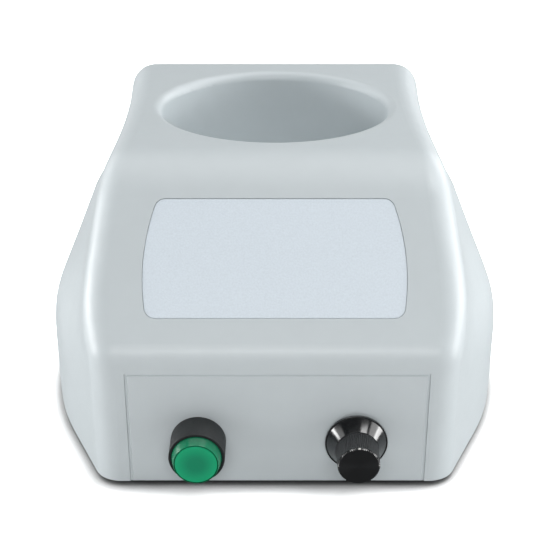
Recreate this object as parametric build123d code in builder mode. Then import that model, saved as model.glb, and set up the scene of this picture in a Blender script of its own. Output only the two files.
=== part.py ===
from build123d import *
from math import atan2, copysign, cos, degrees, pi, radians, sin, sqrt, tan
import os

os.makedirs("parts", exist_ok=True)

# Vacuum aspirator: a bench unit that holds a bottle in a round well and draws liquid into it
# with a small diaphragm pump. X runs to the right, Y towards the rear and Z up. The origin is
# under the middle of the whole object, on the bench. All sizes are in millimetres.

# What the unit is made for
BOTTLE_DIAMETER = 101.0         # one litre laboratory bottle that stands in the well
BUTTON_DIAMETER = 22.0          # barrel of the lit push button
SHAFT_DIAMETER = 6.0            # potentiometer shaft that carries the knob

# Moulded casing
CASE_HEIGHT = 118.0
CASE_DEPTH = 215.0
WALL = 3.0
FOOT_GAP = 2.5                  # the feet hold the casing this far off the bench
FRONT_HALF = 69.8               # half width at the front face, before its corners are rounded
FLARE = 25.0                    # degrees by which the sides open out behind the front
FLARE_RUN = 37.0                # depth over which they open out straight
BEND_RADIUS = 150.0             # plan radius that turns them nearly parallel again
BELT_HEIGHT = 44.0              # where the upright side starts to lean inwards
BELT_SOFT = 12.0                # half the height over which that bend is spread
HOLLOW = 0.18                   # extra lean halfway up, which gives the side its bell shape
WAIST_HALF = 67.0               # half width of the top beside the well, before rounding
WAIST_BACK = 121.0
WAIST_RADIUS = 840.0
EDGE_RADIUS = 12.0              # soft edge all round the front, slope, top and rear
INNER_EDGE_RADIUS = 8.0         # the same edge inside the wall
RIDGE_HEIGHT = 57.0             # where the upright front meets the slope
RIDGE_RADIUS = 15.0
SLOPE_DEPTH = 54.5
BROW_RADIUS = 36.0              # slope into the flat top
REAR_TOP_RADIUS = 15.0

# Bottle well
BOTTLE_CLEARANCE = 2.0
WELL_BACK = 132.0               # from the front face to the middle of the well
WELL_HEADROOM = 3.7             # between the well and the ribs on top of the pump
LIP_RADIUS = 4.0

# Nameplate on the slope
PLATE_TOP_HALF = 47.0
PLATE_MIDDLE_HALF = 52.0
PLATE_FOOT_HALF = 50.4
PLATE_HEIGHT = 49.7
PLATE_UP = 40.6                 # along the slope from its foot to the middle of the plate
PLATE_CORNER = 4.5
POCKET_DEPTH = 0.8
PLATE_THICKNESS = 0.6
PLATE_GAP = 0.25

# Front panel in its opening
PANEL_WIDTH = 119.0
PANEL_HEIGHT = 50.0
PANEL_SHIFT = 1.0               # the opening sits a little right of the middle
PANEL_GAP = 0.9
PANEL_LIP = 4.0
PANEL_LIP_THICKNESS = 2.0
PANEL_FOOT = 14.0
CONTROL_SPACING = 62.8
CONTROL_HEIGHT = 19.5

# Base plate, feet and the screws through both
BASE_RECESS = 0.8
BASE_THICKNESS = 2.5
FIT = 0.3                       # general gap between a piece and its seat
FRONT_BOSS = (77.5, 52.0)       # half spacing, depth
REAR_BOSS = (90.0, 188.0)
BOSS_RADIUS = 4.5
PILOT_RADIUS = 1.5
PILOT_DEPTH = 12.0
FOOT_RADIUS = 8.0
SCREW_SHANK = 1.45
SCREW_HEAD_RADIUS = 3.2
SCREW_HEAD_HEIGHT = 1.2

# Push button
BUTTON_LENGTH = 14.4
BUTTON_WALL = 1.1
LENS_STICKOUT = 2.4
LENS_BEVEL = 1.3
LENS_WALL = 1.6
LENS_SKIRT = 9.0
LENS_CLEARANCE = 0.08
BUTTON_TRAVEL = 3.0
NECK_RADIUS = 8.0
NECK_LENGTH = 14.0
GUIDE_RADIUS = 4.5
PLUNGER_WALL = 0.9
RUNNING = 0.05
LAMP_RADIUS = 2.4
SPRING_WIRE = 0.35              # radius of its wire
SPRING_TURNS = 4
SPRING_SOLID = 3.3              # room left for it when the button is down
SWITCH_SIZE = 18.0
SWITCH_DEPTH = 19.0

# Control knob and potentiometer
KNOB_SKIRT_RADIUS = 12.4
KNOB_RIM = 1.4
KNOB_SKIRT_LENGTH = 6.4
KNOB_GRIP_RADIUS = 8.55
KNOB_TIP_RADIUS = 8.3
KNOB_LENGTH = 17.2
KNOB_GAP = 0.8                  # between the skirt and the panel
KNOB_CHAMFER = 0.6
BUSHING_RADIUS = 4.5
POT_NUT_HEIGHT = 2.0
POT_NUT_ACROSS = 12.0
POT_RADIUS = 8.5
POT_DEPTH = 9.0

# Diaphragm pump, lying under the well with its shaft along X
PUMP_BACK = 114.0               # from the front face to the pump shaft
PUMP_MIDDLE = 10.0              # X of the connecting rod
MOTOR_RADIUS = 18.0
MOTOR_LENGTH = 52.0
MOTOR_WALL = 1.2
MOTOR_SHAFT_RADIUS = 1.6
CRANK_THROW = 2.0
CRANK_PIN_RADIUS = 3.0
CRANKCASE_SIZE = 38.0
CRANKCASE_WALL = 3.0
RIB_HEIGHT = 2.5
ROD_LENGTH = 20.0
ROD_WIDTH = 6.0
CLAMP_RADIUS = 8.2
CLAMP_THICKNESS = 1.6
DIAPHRAGM_RADIUS = 17.0
DIAPHRAGM_THICKNESS = 1.2
VALVE_PLATE_THICKNESS = 5.0
HEAD_THICKNESS = 7.0
HEAD_SCREW_SPACING = 31.0
BARB_SPACING = 16.0
ISOLATOR_HEIGHT = 4.0
ISOLATOR_RADIUS = 5.0
BRACKET_THICKNESS = 1.5
FOOT_SPREAD_X = 54.0            # between the pump's rubber isolators
FOOT_SPREAD_Y = 58.0

# Hose fittings and rear face
TUBE_BORE_RADIUS = 2.6
TUBE_WALL = 1.5
BARB_LENGTH = 9.0
PORT_X = -20.0
EXHAUST_X = 40.0
JACK_X = 74.0
PORT_THREAD = 5.0
PORT_FLANGE = 4.0
PORT_BARB_RADIUS = 4.0          # outside barb, for 8 mm tubing
PORT_NUT = 4.0
PORT_NUT_ACROSS = 13.0
JACK_NUT_ACROSS = 16.0
JACK_RADIUS = 6.0
REAR_STICKOUT = 20.0            # furthest that a rear fitting stands out of the casing

# Circuit board
BOARD_LENGTH = 66.0
BOARD_WIDTH = 40.0
BOARD_THICKNESS = 1.6
BOARD_LIFT = 5.0

# Places worked out from the sizes above
KNOB_REACH = KNOB_GAP + KNOB_LENGTH
FRONT_Y = -(CASE_DEPTH + REAR_STICKOUT - KNOB_REACH) / 2
REAR_Y = FRONT_Y + CASE_DEPTH
BASE_Z = FOOT_GAP + BASE_RECESS
FLOOR_Z = BASE_Z + BASE_THICKNESS
TOP_Z = FOOT_GAP + CASE_HEIGHT
WELL_RADIUS = BOTTLE_DIAMETER / 2 + BOTTLE_CLEARANCE
WELL_Y = FRONT_Y + WELL_BACK
CONTROL_Z = FOOT_GAP + CONTROL_HEIGHT
BUTTON_X = PANEL_SHIFT - CONTROL_SPACING / 2
KNOB_X = PANEL_SHIFT + CONTROL_SPACING / 2
PUMP_Y = FRONT_Y + PUMP_BACK
PUMP_Z = FLOOR_Z + ISOLATOR_HEIGHT + BRACKET_THICKNESS + CRANKCASE_SIZE / 2
WELL_FLOOR_Z = PUMP_Z + CRANKCASE_SIZE / 2 + RIB_HEIGHT + WELL_HEADROOM + WALL
WELL_DEPTH = TOP_Z - WELL_FLOOR_Z
SLOPE_RISE = CASE_HEIGHT - RIDGE_HEIGHT
SLOPE_ANGLE = degrees(atan2(SLOPE_RISE, SLOPE_DEPTH))


def export_piece(piece, name):
    """Labels a finished piece and writes it under its node's name."""
    piece.label = name
    export_step(piece, f"parts/{name}.step")


def foot_half(back):
    """Half width of the upright side wall at a depth behind the front face."""
    bend_back = FLARE_RUN + BEND_RADIUS * sin(radians(FLARE))
    widest = FRONT_HALF + FLARE_RUN * tan(radians(FLARE)) + BEND_RADIUS * (1 - cos(radians(FLARE)))
    if back < FLARE_RUN:
        return FRONT_HALF + back * tan(radians(FLARE))
    if back < bend_back:
        return widest - BEND_RADIUS + sqrt(BEND_RADIUS**2 - (bend_back - back) ** 2)
    return widest


def top_half(back):
    """Half width of the flat top, drawn in to a waist beside the well."""
    return WAIST_HALF + (back - WAIST_BACK) ** 2 / (2 * WAIST_RADIUS)


def lean_share(height):
    """How far the side has moved from its foot outline (0) to its top outline (1)."""
    rise = CASE_HEIGHT - BELT_HEIGHT
    over = height - BELT_HEIGHT
    if over < -BELT_SOFT:
        return 0
    bell = HOLLOW * sin(pi * min(max(over / rise, 0), 1)) ** 2
    if over < BELT_SOFT:
        return (over + BELT_SOFT) ** 2 / (4 * BELT_SOFT * rise) + bell
    return over / rise + bell


def level_outline(height, inset):
    """Plan of the sides at one height; the front and rear are cut off later."""
    stations = [-14, 6, 26, 46, 66, 86, 106, 136, 166, 196, CASE_DEPTH + 14]
    share = lean_share(height)
    side = []
    for back in stations:
        half = foot_half(back) + (top_half(back) - foot_half(back)) * share - inset
        side.append((half, FRONT_Y + back))
    with BuildSketch(Plane.XY.offset(FOOT_GAP + height)) as outline:
        with BuildLine():
            Spline(*side)
            Spline(*[(-px, py) for px, py in side])
            Line((-side[0][0], side[0][1]), side[0])
            Line((-side[-1][0], side[-1][1]), side[-1])
        make_face()
    return outline.sketch


def casing_form(inset):
    """The casing's outer shape, or the same shape drawn in by a wall on every side."""
    rise = CASE_HEIGHT - BELT_HEIGHT
    levels = [BELT_HEIGHT * share for share in (-0.35, 0.05, 0.45, 0.8)]
    levels += [BELT_HEIGHT + rise * share for share in (0.03, 0.2, 0.38, 0.57, 0.76, 0.92, 1.08)]
    with BuildPart(mode=Mode.PRIVATE) as form:
        loft(sections=[level_outline(height, inset) for height in levels])
        with BuildSketch(Plane.YZ) as side:
            with BuildLine():
                Polyline(
                    (FRONT_Y, FOOT_GAP - 15),
                    (FRONT_Y, FOOT_GAP + RIDGE_HEIGHT),
                    (FRONT_Y + SLOPE_DEPTH, TOP_Z),
                    (REAR_Y, TOP_Z),
                    (REAR_Y, FOOT_GAP - 15),
                    close=True,
                )
            make_face()
            fillet(side.vertices().group_by(Axis.Y)[1], RIDGE_RADIUS)
            fillet(side.vertices().group_by(Axis.Y)[-1].sort_by(Axis.X)[0], BROW_RADIUS)
            fillet(side.vertices().group_by(Axis.Y)[-1].sort_by(Axis.X)[-1], REAR_TOP_RADIUS)
            if inset > 0:
                offset(amount=-inset, kind=Kind.INTERSECTION)
        extrude(amount=150, both=True, mode=Mode.INTERSECT)
        flanks = [f for f in form.faces() if abs(f.normal_at(f.center()).X) > 0.5]
        caps = [f for f in form.faces() if abs(f.normal_at(f.center()).X) <= 0.5]
        caps = [f for f in caps if f.normal_at(f.center()).Z > -0.9]
        cap_edges = [e for f in caps for e in f.edges()]
        rim = [e for f in flanks for e in f.edges() if any(e.is_same(c) for c in cap_edges)]
        fillet(rim, INNER_EDGE_RADIUS if inset > 0 else EDGE_RADIUS)
        if inset == 0:
            split(bisect_by=Plane.XY.offset(FOOT_GAP), keep=Keep.TOP)
    return form.part


def slab(low, high):
    """A wide block between two heights, for cutting a form to a layer."""
    with BuildPart(Plane.XY.offset(low), mode=Mode.PRIVATE) as layer:
        Box(400, 500, high - low, align=(Align.CENTER, Align.CENTER, Align.MIN))
    return layer.part


def corner_places():
    """Middle of each corner boss, front pair first."""
    places = []
    for half, back in (FRONT_BOSS, REAR_BOSS):
        places += [(-half, FRONT_Y + back), (half, FRONT_Y + back)]
    return places


def plate_outline(shrink):
    """Barrel shape of the nameplate or, with no shrink, of its pocket."""
    top = PLATE_HEIGHT / 2
    with BuildSketch(mode=Mode.PRIVATE) as outline:
        with BuildLine():
            Line((-PLATE_TOP_HALF, top), (PLATE_TOP_HALF, top))
            ThreePointArc((PLATE_TOP_HALF, top), (PLATE_MIDDLE_HALF, 0), (PLATE_FOOT_HALF, -top))
            Line((PLATE_FOOT_HALF, -top), (-PLATE_FOOT_HALF, -top))
            ThreePointArc((-PLATE_FOOT_HALF, -top), (-PLATE_MIDDLE_HALF, 0), (-PLATE_TOP_HALF, top))
        make_face()
        fillet(outline.vertices(), PLATE_CORNER)
        if shrink > 0:
            offset(amount=-shrink)
    return outline.sketch


OUTER = casing_form(0)
INNER = casing_form(WALL)
BASE_FORM = casing_form(WALL + FIT)
SLOPE_FOOT = Vector(0, FRONT_Y, FOOT_GAP + RIDGE_HEIGHT)
SLOPE_RUN = Vector(0, cos(radians(SLOPE_ANGLE)), sin(radians(SLOPE_ANGLE)))
SLOPE_PLANE = Plane(
    origin=SLOPE_FOOT + SLOPE_RUN * PLATE_UP,
    x_dir=(1, 0, 0),
    z_dir=(0, -SLOPE_RUN.Z, SLOPE_RUN.Y),
)

# Bosses for the base screws, each tied to the side wall by a rib
with BuildPart() as posts:
    with BuildSketch(Plane.XY.offset(FLOOR_Z)):
        with Locations(*corner_places()):
            Circle(BOSS_RADIUS)
    extrude(amount=CASE_HEIGHT)
    with BuildSketch(Plane.XY.offset(FLOOR_Z + 3)):
        for px, py in corner_places():
            with Locations((px + copysign(10, px), py)):
                Rectangle(20, 2.2)
    extrude(amount=CASE_HEIGHT)
    add(OUTER, mode=Mode.INTERSECT)

# The casing: one moulding with the bottle well, the nameplate pocket and the corner bosses
WELL_OUTER = WELL_RADIUS + WALL
with BuildPart() as casing:
    add(OUTER)
    add(INNER, mode=Mode.SUBTRACT)
    # well, hung from the top
    with BuildSketch(Plane.XY.offset(WELL_FLOOR_Z - WALL)):
        with Locations((0, WELL_Y)):
            Circle(WELL_OUTER)
    extrude(amount=WELL_DEPTH + WALL - 1)
    # bosses for the base screws
    add(posts.part)
    with BuildSketch(Plane.XY.offset(FLOOR_Z)):
        with Locations(*corner_places()):
            Circle(PILOT_RADIUS)
    extrude(amount=PILOT_DEPTH, mode=Mode.SUBTRACT)
    # bore of the well and its soft lip
    with BuildSketch(Plane.XY.offset(WELL_FLOOR_Z)):
        with Locations((0, WELL_Y)):
            Circle(WELL_RADIUS)
    extrude(amount=WELL_DEPTH + 1, mode=Mode.SUBTRACT)
    mouth = casing.edges().filter_by(GeomType.CIRCLE).filter_by(
        lambda e: abs(e.radius - WELL_RADIUS) < 0.01 and e.center().Z > TOP_Z - 1
    )
    fillet(mouth, LIP_RADIUS)
    floor_edge = casing.edges().filter_by(GeomType.CIRCLE).filter_by(
        lambda e: abs(e.radius - WELL_RADIUS) < 0.01 and abs(e.center().Z - WELL_FLOOR_Z) < 0.01
    )
    fillet(floor_edge, WALL)
    # pocket for the nameplate
    with BuildSketch(SLOPE_PLANE):
        add(plate_outline(0))
    extrude(amount=-POCKET_DEPTH, mode=Mode.SUBTRACT)
    # opening for the front panel
    with BuildSketch(Plane.XZ.offset(-FRONT_Y)):
        with Locations((PANEL_SHIFT, FOOT_GAP)):
            Rectangle(PANEL_WIDTH, PANEL_HEIGHT, align=(Align.CENTER, Align.MIN))
    extrude(amount=-WALL * 3, both=True, mode=Mode.SUBTRACT)
    # holes for the rear fittings
    with BuildSketch(Plane.XZ.offset(-REAR_Y)):
        with Locations((PORT_X, PUMP_Z), (EXHAUST_X, PUMP_Z)):
            Circle(PORT_THREAD + 0.1)
        with Locations((JACK_X, PUMP_Z)):
            Circle(JACK_RADIUS + 0.1)
    extrude(amount=WALL * 2, both=True, mode=Mode.SUBTRACT)
export_piece(casing.part, "top_casing")

# Base plate: closes the casing from below and carries the pump and the board
PUMP_FEET = [
    (PUMP_MIDDLE + sx * FOOT_SPREAD_X / 2, PUMP_Y + sy * FOOT_SPREAD_Y / 2)
    for sx in (-1, 1)
    for sy in (-1, 1)
]
BOARD_X = PUMP_MIDDLE + FOOT_SPREAD_X / 2 + BOARD_WIDTH / 2 + 8
BOARD_Y = FRONT_Y + PUMP_BACK - 4
BOARD_INSET = 3.5
BOARD_HOLES = [
    (BOARD_X + sx * (BOARD_WIDTH / 2 - BOARD_INSET), BOARD_Y + sy * (BOARD_LENGTH / 2 - BOARD_INSET))
    for sx in (-1, 1)
    for sy in (-1, 1)
]
PANEL_SCREWS = [PANEL_SHIFT - PANEL_WIDTH / 2 + 12, PANEL_SHIFT + PANEL_WIDTH / 2 - 12]
PANEL_SCREW_Y = FRONT_Y + WALL + PANEL_FOOT / 2
with BuildPart() as base:
    add(BASE_FORM)
    add(slab(BASE_Z, FLOOR_Z), mode=Mode.INTERSECT)
    # screw holes through the plate at the corner bosses and the panel foot
    with BuildSketch(Plane.XY.offset(BASE_Z)):
        with Locations(*corner_places()):
            Circle(PILOT_RADIUS + 0.2)
        with Locations(*[(px, PANEL_SCREW_Y) for px in PANEL_SCREWS]):
            Circle(PILOT_RADIUS + 0.2)
    extrude(amount=BASE_THICKNESS, mode=Mode.SUBTRACT)
    # standoffs for the circuit board and seats for the pump's isolators
    with BuildSketch(Plane.XY.offset(FLOOR_Z)):
        with Locations(*BOARD_HOLES):
            Circle(3.0)
            Circle(1.0, mode=Mode.SUBTRACT)
    extrude(amount=BOARD_LIFT)
    with BuildSketch(Plane.XY.offset(FLOOR_Z)):
        with Locations(*PUMP_FEET):
            Circle(SCREW_SHANK + 0.05)
    extrude(amount=-BASE_THICKNESS, mode=Mode.SUBTRACT)
    # cooling slots under the pump motor
    with BuildSketch(Plane.XY.offset(BASE_Z)):
        with Locations((PUMP_MIDDLE - 50, PUMP_Y)):
            with GridLocations(7, 1, 5, 1):
                SlotOverall(34, 3, rotation=90)
    extrude(amount=BASE_THICKNESS, mode=Mode.SUBTRACT)
export_piece(base.part, "base_plate")

# Front panel: drops into its opening, hooks behind the top edge, stands on the base plate
panel_width = PANEL_WIDTH - 2 * PANEL_GAP
panel_top = FOOT_GAP + PANEL_HEIGHT - PANEL_GAP
panel_back = FRONT_Y + WALL + FIT
with BuildPart() as panel:
    with BuildSketch(Plane.XZ.offset(-FRONT_Y)):
        with Locations((PANEL_SHIFT, FOOT_GAP)):
            Rectangle(panel_width, PANEL_HEIGHT - PANEL_GAP, align=(Align.CENTER, Align.MIN))
    extrude(amount=-(WALL + FIT))
    front_edges = panel.faces().sort_by(Axis.Y)[0].edges()
    fillet(front_edges, 0.5)
    # hook behind the casing along the top
    with BuildSketch(Plane.XZ.offset(-panel_back)):
        with Locations((PANEL_SHIFT, FLOOR_Z)):
            Rectangle(
                panel_width - 8,
                panel_top + PANEL_LIP - FLOOR_Z,
                align=(Align.CENTER, Align.MIN),
            )
    extrude(amount=-PANEL_LIP_THICKNESS)
    # foot that is screwed to the base plate
    with BuildSketch(Plane.XY.offset(FLOOR_Z)):
        with Locations((PANEL_SHIFT, panel_back)):
            Rectangle(panel_width - 8, PANEL_FOOT, align=(Align.CENTER, Align.MIN))
    extrude(amount=PANEL_LIP_THICKNESS)
    with BuildSketch(Plane.XY.offset(FLOOR_Z)):
        with Locations(*[(px, PANEL_SCREW_Y) for px in PANEL_SCREWS]):
            Circle(4.0)
    extrude(amount=8)
    with BuildSketch(Plane.XY.offset(FLOOR_Z)):
        with Locations(*[(px, PANEL_SCREW_Y) for px in PANEL_SCREWS]):
            Circle(PILOT_RADIUS)
    extrude(amount=7, mode=Mode.SUBTRACT)
    # holes for the button's neck and the potentiometer's bushing
    with BuildSketch(Plane.XZ.offset(-FRONT_Y)):
        with Locations((BUTTON_X, CONTROL_Z)):
            Circle(NECK_RADIUS + 0.1)
        with Locations((KNOB_X, CONTROL_Z)):
            Circle(BUSHING_RADIUS + 0.1)
    extrude(amount=-20, mode=Mode.SUBTRACT)
export_piece(panel.part, "front_panel")
PANEL_BACK_Y = panel_back + PANEL_LIP_THICKNESS

# Nameplate: a bare printed sheet in its pocket
with BuildPart() as nameplate:
    with BuildSketch(SLOPE_PLANE.offset(-POCKET_DEPTH)):
        add(plate_outline(PLATE_GAP))
    extrude(amount=PLATE_THICKNESS)
export_piece(nameplate.part, "nameplate")

# Rubber feet, each held by the screw that closes the casing
with BuildPart() as feet:
    with BuildSketch():
        with Locations(*corner_places()):
            Circle(FOOT_RADIUS)
    extrude(amount=BASE_Z, taper=3)
    with BuildSketch():
        with Locations(*corner_places()):
            Circle(SCREW_HEAD_RADIUS + 0.6)
    extrude(amount=BASE_Z - 1.2, mode=Mode.SUBTRACT)
    with BuildSketch():
        with Locations(*corner_places()):
            Circle(SCREW_SHANK + 0.15)
    extrude(amount=BASE_Z, mode=Mode.SUBTRACT)
export_piece(feet.part, "rubber_feet")


def pan_screws(places, seat_z, reach):
    """Pan head screws driven upwards, one at each place, with their heads under seat_z."""
    with BuildPart(mode=Mode.PRIVATE) as screws:
        with BuildSketch(Plane.XY.offset(seat_z - SCREW_HEAD_HEIGHT)):
            with Locations(*places):
                Circle(SCREW_HEAD_RADIUS - 0.4)
        extrude(amount=SCREW_HEAD_HEIGHT)
        with BuildSketch(Plane.XY.offset(seat_z)):
            with Locations(*places):
                Circle(SCREW_SHANK)
        extrude(amount=reach)
        with BuildSketch(Plane.XY.offset(seat_z - SCREW_HEAD_HEIGHT)):
            with Locations(*places):
                Rectangle(3.2, 0.7)
                Rectangle(0.7, 3.2)
        extrude(amount=SCREW_HEAD_HEIGHT * 0.6, mode=Mode.SUBTRACT)
    return screws.part


export_piece(pan_screws(corner_places(), BASE_Z - 1.2, BASE_THICKNESS + 10), "case_screws")
panel_places = [(px, PANEL_SCREW_Y) for px in PANEL_SCREWS]
export_piece(pan_screws(panel_places, BASE_Z, BASE_THICKNESS + 6), "panel_screws")

# Push button: black barrel with a threaded neck through the panel
BARREL_RADIUS = BUTTON_DIAMETER / 2
LENS_BORE = BARREL_RADIUS - BUTTON_WALL
LENS_RADIUS = LENS_BORE - LENS_CLEARANCE
LENS_FACE_Y = FRONT_Y - BUTTON_LENGTH - LENS_STICKOUT
LENS_BACK_Y = LENS_FACE_Y + LENS_SKIRT
WEB_Y = LENS_BACK_Y + BUTTON_TRAVEL + SPRING_SOLID
BUTTON_AXIS = Plane(origin=(BUTTON_X, FRONT_Y, CONTROL_Z), x_dir=(1, 0, 0), z_dir=(0, -1, 0))


def along(plane, profile):
    """Turns a half outline, given as (radius, distance in front of the panel), into a solid."""
    axis_plane = Plane(origin=plane.origin, x_dir=(1, 0, 0), z_dir=(0, 0, 1))
    with BuildPart(mode=Mode.PRIVATE) as turned:
        with BuildSketch(axis_plane):
            with BuildLine():
                Polyline(*[(r, -d) for r, d in profile], close=True)
            make_face()
        revolve(axis=Axis(plane.origin, (0, 1, 0)))
    return turned.part


web_front = FRONT_Y - WEB_Y
bezel = along(
    BUTTON_AXIS,
    [
        (LENS_BORE, BUTTON_LENGTH),
        (BARREL_RADIUS - 0.3, BUTTON_LENGTH),
        (BARREL_RADIUS, BUTTON_LENGTH - 0.3),
        (BARREL_RADIUS, 0),
        (NECK_RADIUS, 0),
        (NECK_RADIUS, -NECK_LENGTH),
        (GUIDE_RADIUS + RUNNING, -NECK_LENGTH),
        (GUIDE_RADIUS + RUNNING, web_front),
        (LENS_BORE, web_front),
    ],
)
export_piece(bezel, "button_barrel")

lens_front = BUTTON_LENGTH + LENS_STICKOUT
lens_back = lens_front - LENS_SKIRT
lens = along(
    BUTTON_AXIS,
    [
        (0, lens_front),
        (LENS_RADIUS - LENS_BEVEL, lens_front),
        (LENS_RADIUS - LENS_BEVEL * 0.3, lens_front - LENS_BEVEL * 0.3),
        (LENS_RADIUS, lens_front - LENS_BEVEL),
        (LENS_RADIUS, lens_back),
        (LENS_RADIUS - LENS_WALL, lens_back),
        (LENS_RADIUS - LENS_WALL, lens_front - LENS_WALL),
        (0, lens_front - LENS_WALL),
    ],
)
export_piece(lens, "button_lens")

# Plunger: carries the lens on a disc and slides in the barrel's guide bore
disc_back = lens_back
disc_front = disc_back + 1.5
tube_inner = GUIDE_RADIUS - PLUNGER_WALL
plunger = along(
    BUTTON_AXIS,
    [
        (tube_inner, disc_front),
        (LENS_RADIUS - LENS_WALL, disc_front),
        (LENS_RADIUS - LENS_WALL, disc_back),
        (GUIDE_RADIUS, disc_back),
        (GUIDE_RADIUS, -NECK_LENGTH + BUTTON_TRAVEL + 1),
        (tube_inner, -NECK_LENGTH + BUTTON_TRAVEL + 1),
    ],
)
export_piece(plunger, "button_plunger")

# Lamp on its post inside the plunger
lamp = along(
    BUTTON_AXIS,
    [
        (0, lens_front - LENS_WALL - BUTTON_TRAVEL - 0.6),
        (LAMP_RADIUS * 0.75, lens_front - LENS_WALL - BUTTON_TRAVEL - 1.2),
        (LAMP_RADIUS, lens_front - LENS_WALL - BUTTON_TRAVEL - 2.6),
        (LAMP_RADIUS, -NECK_LENGTH),
        (0, -NECK_LENGTH),
    ],
)
export_piece(lamp, "button_lamp")

# Return spring round the plunger, between the web and the disc
spring_mean = GUIDE_RADIUS + SPRING_WIRE + 0.55
spring_rise = disc_back - web_front - 2 * SPRING_WIRE - 0.1
with BuildPart() as spring:
    with BuildLine():
        coil = Helix(
            pitch=spring_rise / SPRING_TURNS,
            height=spring_rise,
            radius=spring_mean,
            center=(BUTTON_X, WEB_Y - SPRING_WIRE - 0.05, CONTROL_Z),
            direction=(0, -1, 0),
        )
    with BuildSketch(Plane(origin=coil @ 0, z_dir=coil % 0)):
        RegularPolygon(SPRING_WIRE, 8)
    sweep(is_frenet=True)
export_piece(spring.part, "button_spring")


def hex_nut(plane, across, bore, thickness):
    """Hexagon nut on a shaft that points along the plane's normal."""
    with BuildPart(mode=Mode.PRIVATE) as nut:
        with BuildSketch(plane):
            RegularPolygon(across / 2, 6, major_radius=False)
            Circle(bore, mode=Mode.SUBTRACT)
        extrude(amount=thickness)
        chamfer(nut.edges().group_by(Axis.Y)[-1].filter_by(GeomType.LINE), 0.3)
    return nut.part


button_rear = Plane(
    origin=(BUTTON_X, PANEL_BACK_Y, CONTROL_Z), x_dir=(1, 0, 0), z_dir=(0, 1, 0)
)
export_piece(hex_nut(button_rear, 2 * NECK_RADIUS + 6, NECK_RADIUS + 0.05, 3.5), "button_nut")

# Switch block behind the neck, with its terminals
switch_front = FRONT_Y + NECK_LENGTH
with BuildPart() as switch:
    with BuildSketch(Plane.XZ.offset(-switch_front)):
        with Locations((BUTTON_X, CONTROL_Z)):
            RectangleRounded(SWITCH_SIZE, SWITCH_SIZE, 2)
    extrude(amount=-SWITCH_DEPTH)
    with BuildSketch(Plane.XZ.offset(-switch_front - SWITCH_DEPTH)):
        with Locations((BUTTON_X, CONTROL_Z)):
            with GridLocations(6, 8, 2, 2):
                Rectangle(2.8, 0.8)
    extrude(amount=-6)
export_piece(switch.part, "switch_block")

# Control knob: turned and knurled, on the potentiometer's shaft
KNOB_AXIS = Plane(origin=(KNOB_X, FRONT_Y, CONTROL_Z), x_dir=(1, 0, 0), z_dir=(0, -1, 0))
SHAFT_RADIUS = SHAFT_DIAMETER / 2
nut_recess = POT_NUT_ACROSS / 2 / cos(radians(30)) + 0.6
nut_clear = POT_NUT_HEIGHT + 1.2
screw_out = KNOB_GAP + KNOB_SKIRT_LENGTH * 0.65
pointer_depth = 0.3
with BuildPart() as knob:
    add(
        along(
            KNOB_AXIS,
            [
                (0, KNOB_REACH),
                (KNOB_TIP_RADIUS - KNOB_CHAMFER, KNOB_REACH),
                (KNOB_TIP_RADIUS, KNOB_REACH - KNOB_CHAMFER),
                (KNOB_GRIP_RADIUS, KNOB_GAP + KNOB_SKIRT_LENGTH),
                (KNOB_SKIRT_RADIUS, KNOB_GAP + KNOB_RIM),
                (KNOB_SKIRT_RADIUS, KNOB_GAP),
                (nut_recess, KNOB_GAP),
                (nut_recess, nut_clear),
                (SHAFT_RADIUS + 0.03, nut_clear),
                (SHAFT_RADIUS + 0.03, KNOB_REACH - 2.5),
                (0, KNOB_REACH - 2.5),
            ],
        )
    )
    # hole for the set screw, from below
    with BuildSketch(Plane.XY.offset(CONTROL_Z)):
        with Locations((KNOB_X, FRONT_Y - screw_out)):
            Circle(1.55)
    extrude(amount=-KNOB_SKIRT_RADIUS, mode=Mode.SUBTRACT)
    # groove for the pointer, at the edge of the tip
    with BuildSketch(KNOB_AXIS.offset(KNOB_REACH)):
        with Locations((0, KNOB_TIP_RADIUS - 2.4)):
            Rectangle(0.9, 3.0)
    extrude(amount=-pointer_depth, mode=Mode.SUBTRACT)
export_piece(knob.part, "control_knob")

with BuildPart() as pointer:
    with BuildSketch(KNOB_AXIS.offset(KNOB_REACH - pointer_depth)):
        with Locations((0, KNOB_TIP_RADIUS - 2.4)):
            Rectangle(0.9, 3.0)
    extrude(amount=pointer_depth - 0.02)
export_piece(pointer.part, "knob_pointer")

with BuildPart() as grub:
    with BuildSketch(Plane.XY.offset(CONTROL_Z - SHAFT_RADIUS)):
        with Locations((KNOB_X, FRONT_Y - screw_out)):
            Circle(1.5)
    extrude(amount=-5.2)
    with BuildSketch(Plane.XY.offset(CONTROL_Z - SHAFT_RADIUS - 5.2)):
        with Locations((KNOB_X, FRONT_Y - screw_out)):
            RegularPolygon(0.75, 6)
    extrude(amount=1.8, mode=Mode.SUBTRACT)
export_piece(grub.part, "knob_set_screw")

# Potentiometer: shaft with its wiper, bushing with its mounting plate, and the can
panel_depth = PANEL_BACK_Y - FRONT_Y
plate_back = panel_depth + 1.5
can_back = panel_depth + POT_DEPTH
shaft = along(
    KNOB_AXIS,
    [
        (0, KNOB_REACH - 2.7),
        (SHAFT_RADIUS - 0.4, KNOB_REACH - 2.7),
        (SHAFT_RADIUS, KNOB_REACH - 3.1),
        (SHAFT_RADIUS, -plate_back - 1.0),
        (POT_RADIUS - 2, -plate_back - 1.0),
        (POT_RADIUS - 2, -plate_back - 2.2),
        (1.5, -plate_back - 2.2),
        (1.5, -can_back + 1.2),
        (0, -can_back + 1.2),
    ],
)
export_piece(shaft, "pot_shaft")

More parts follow.
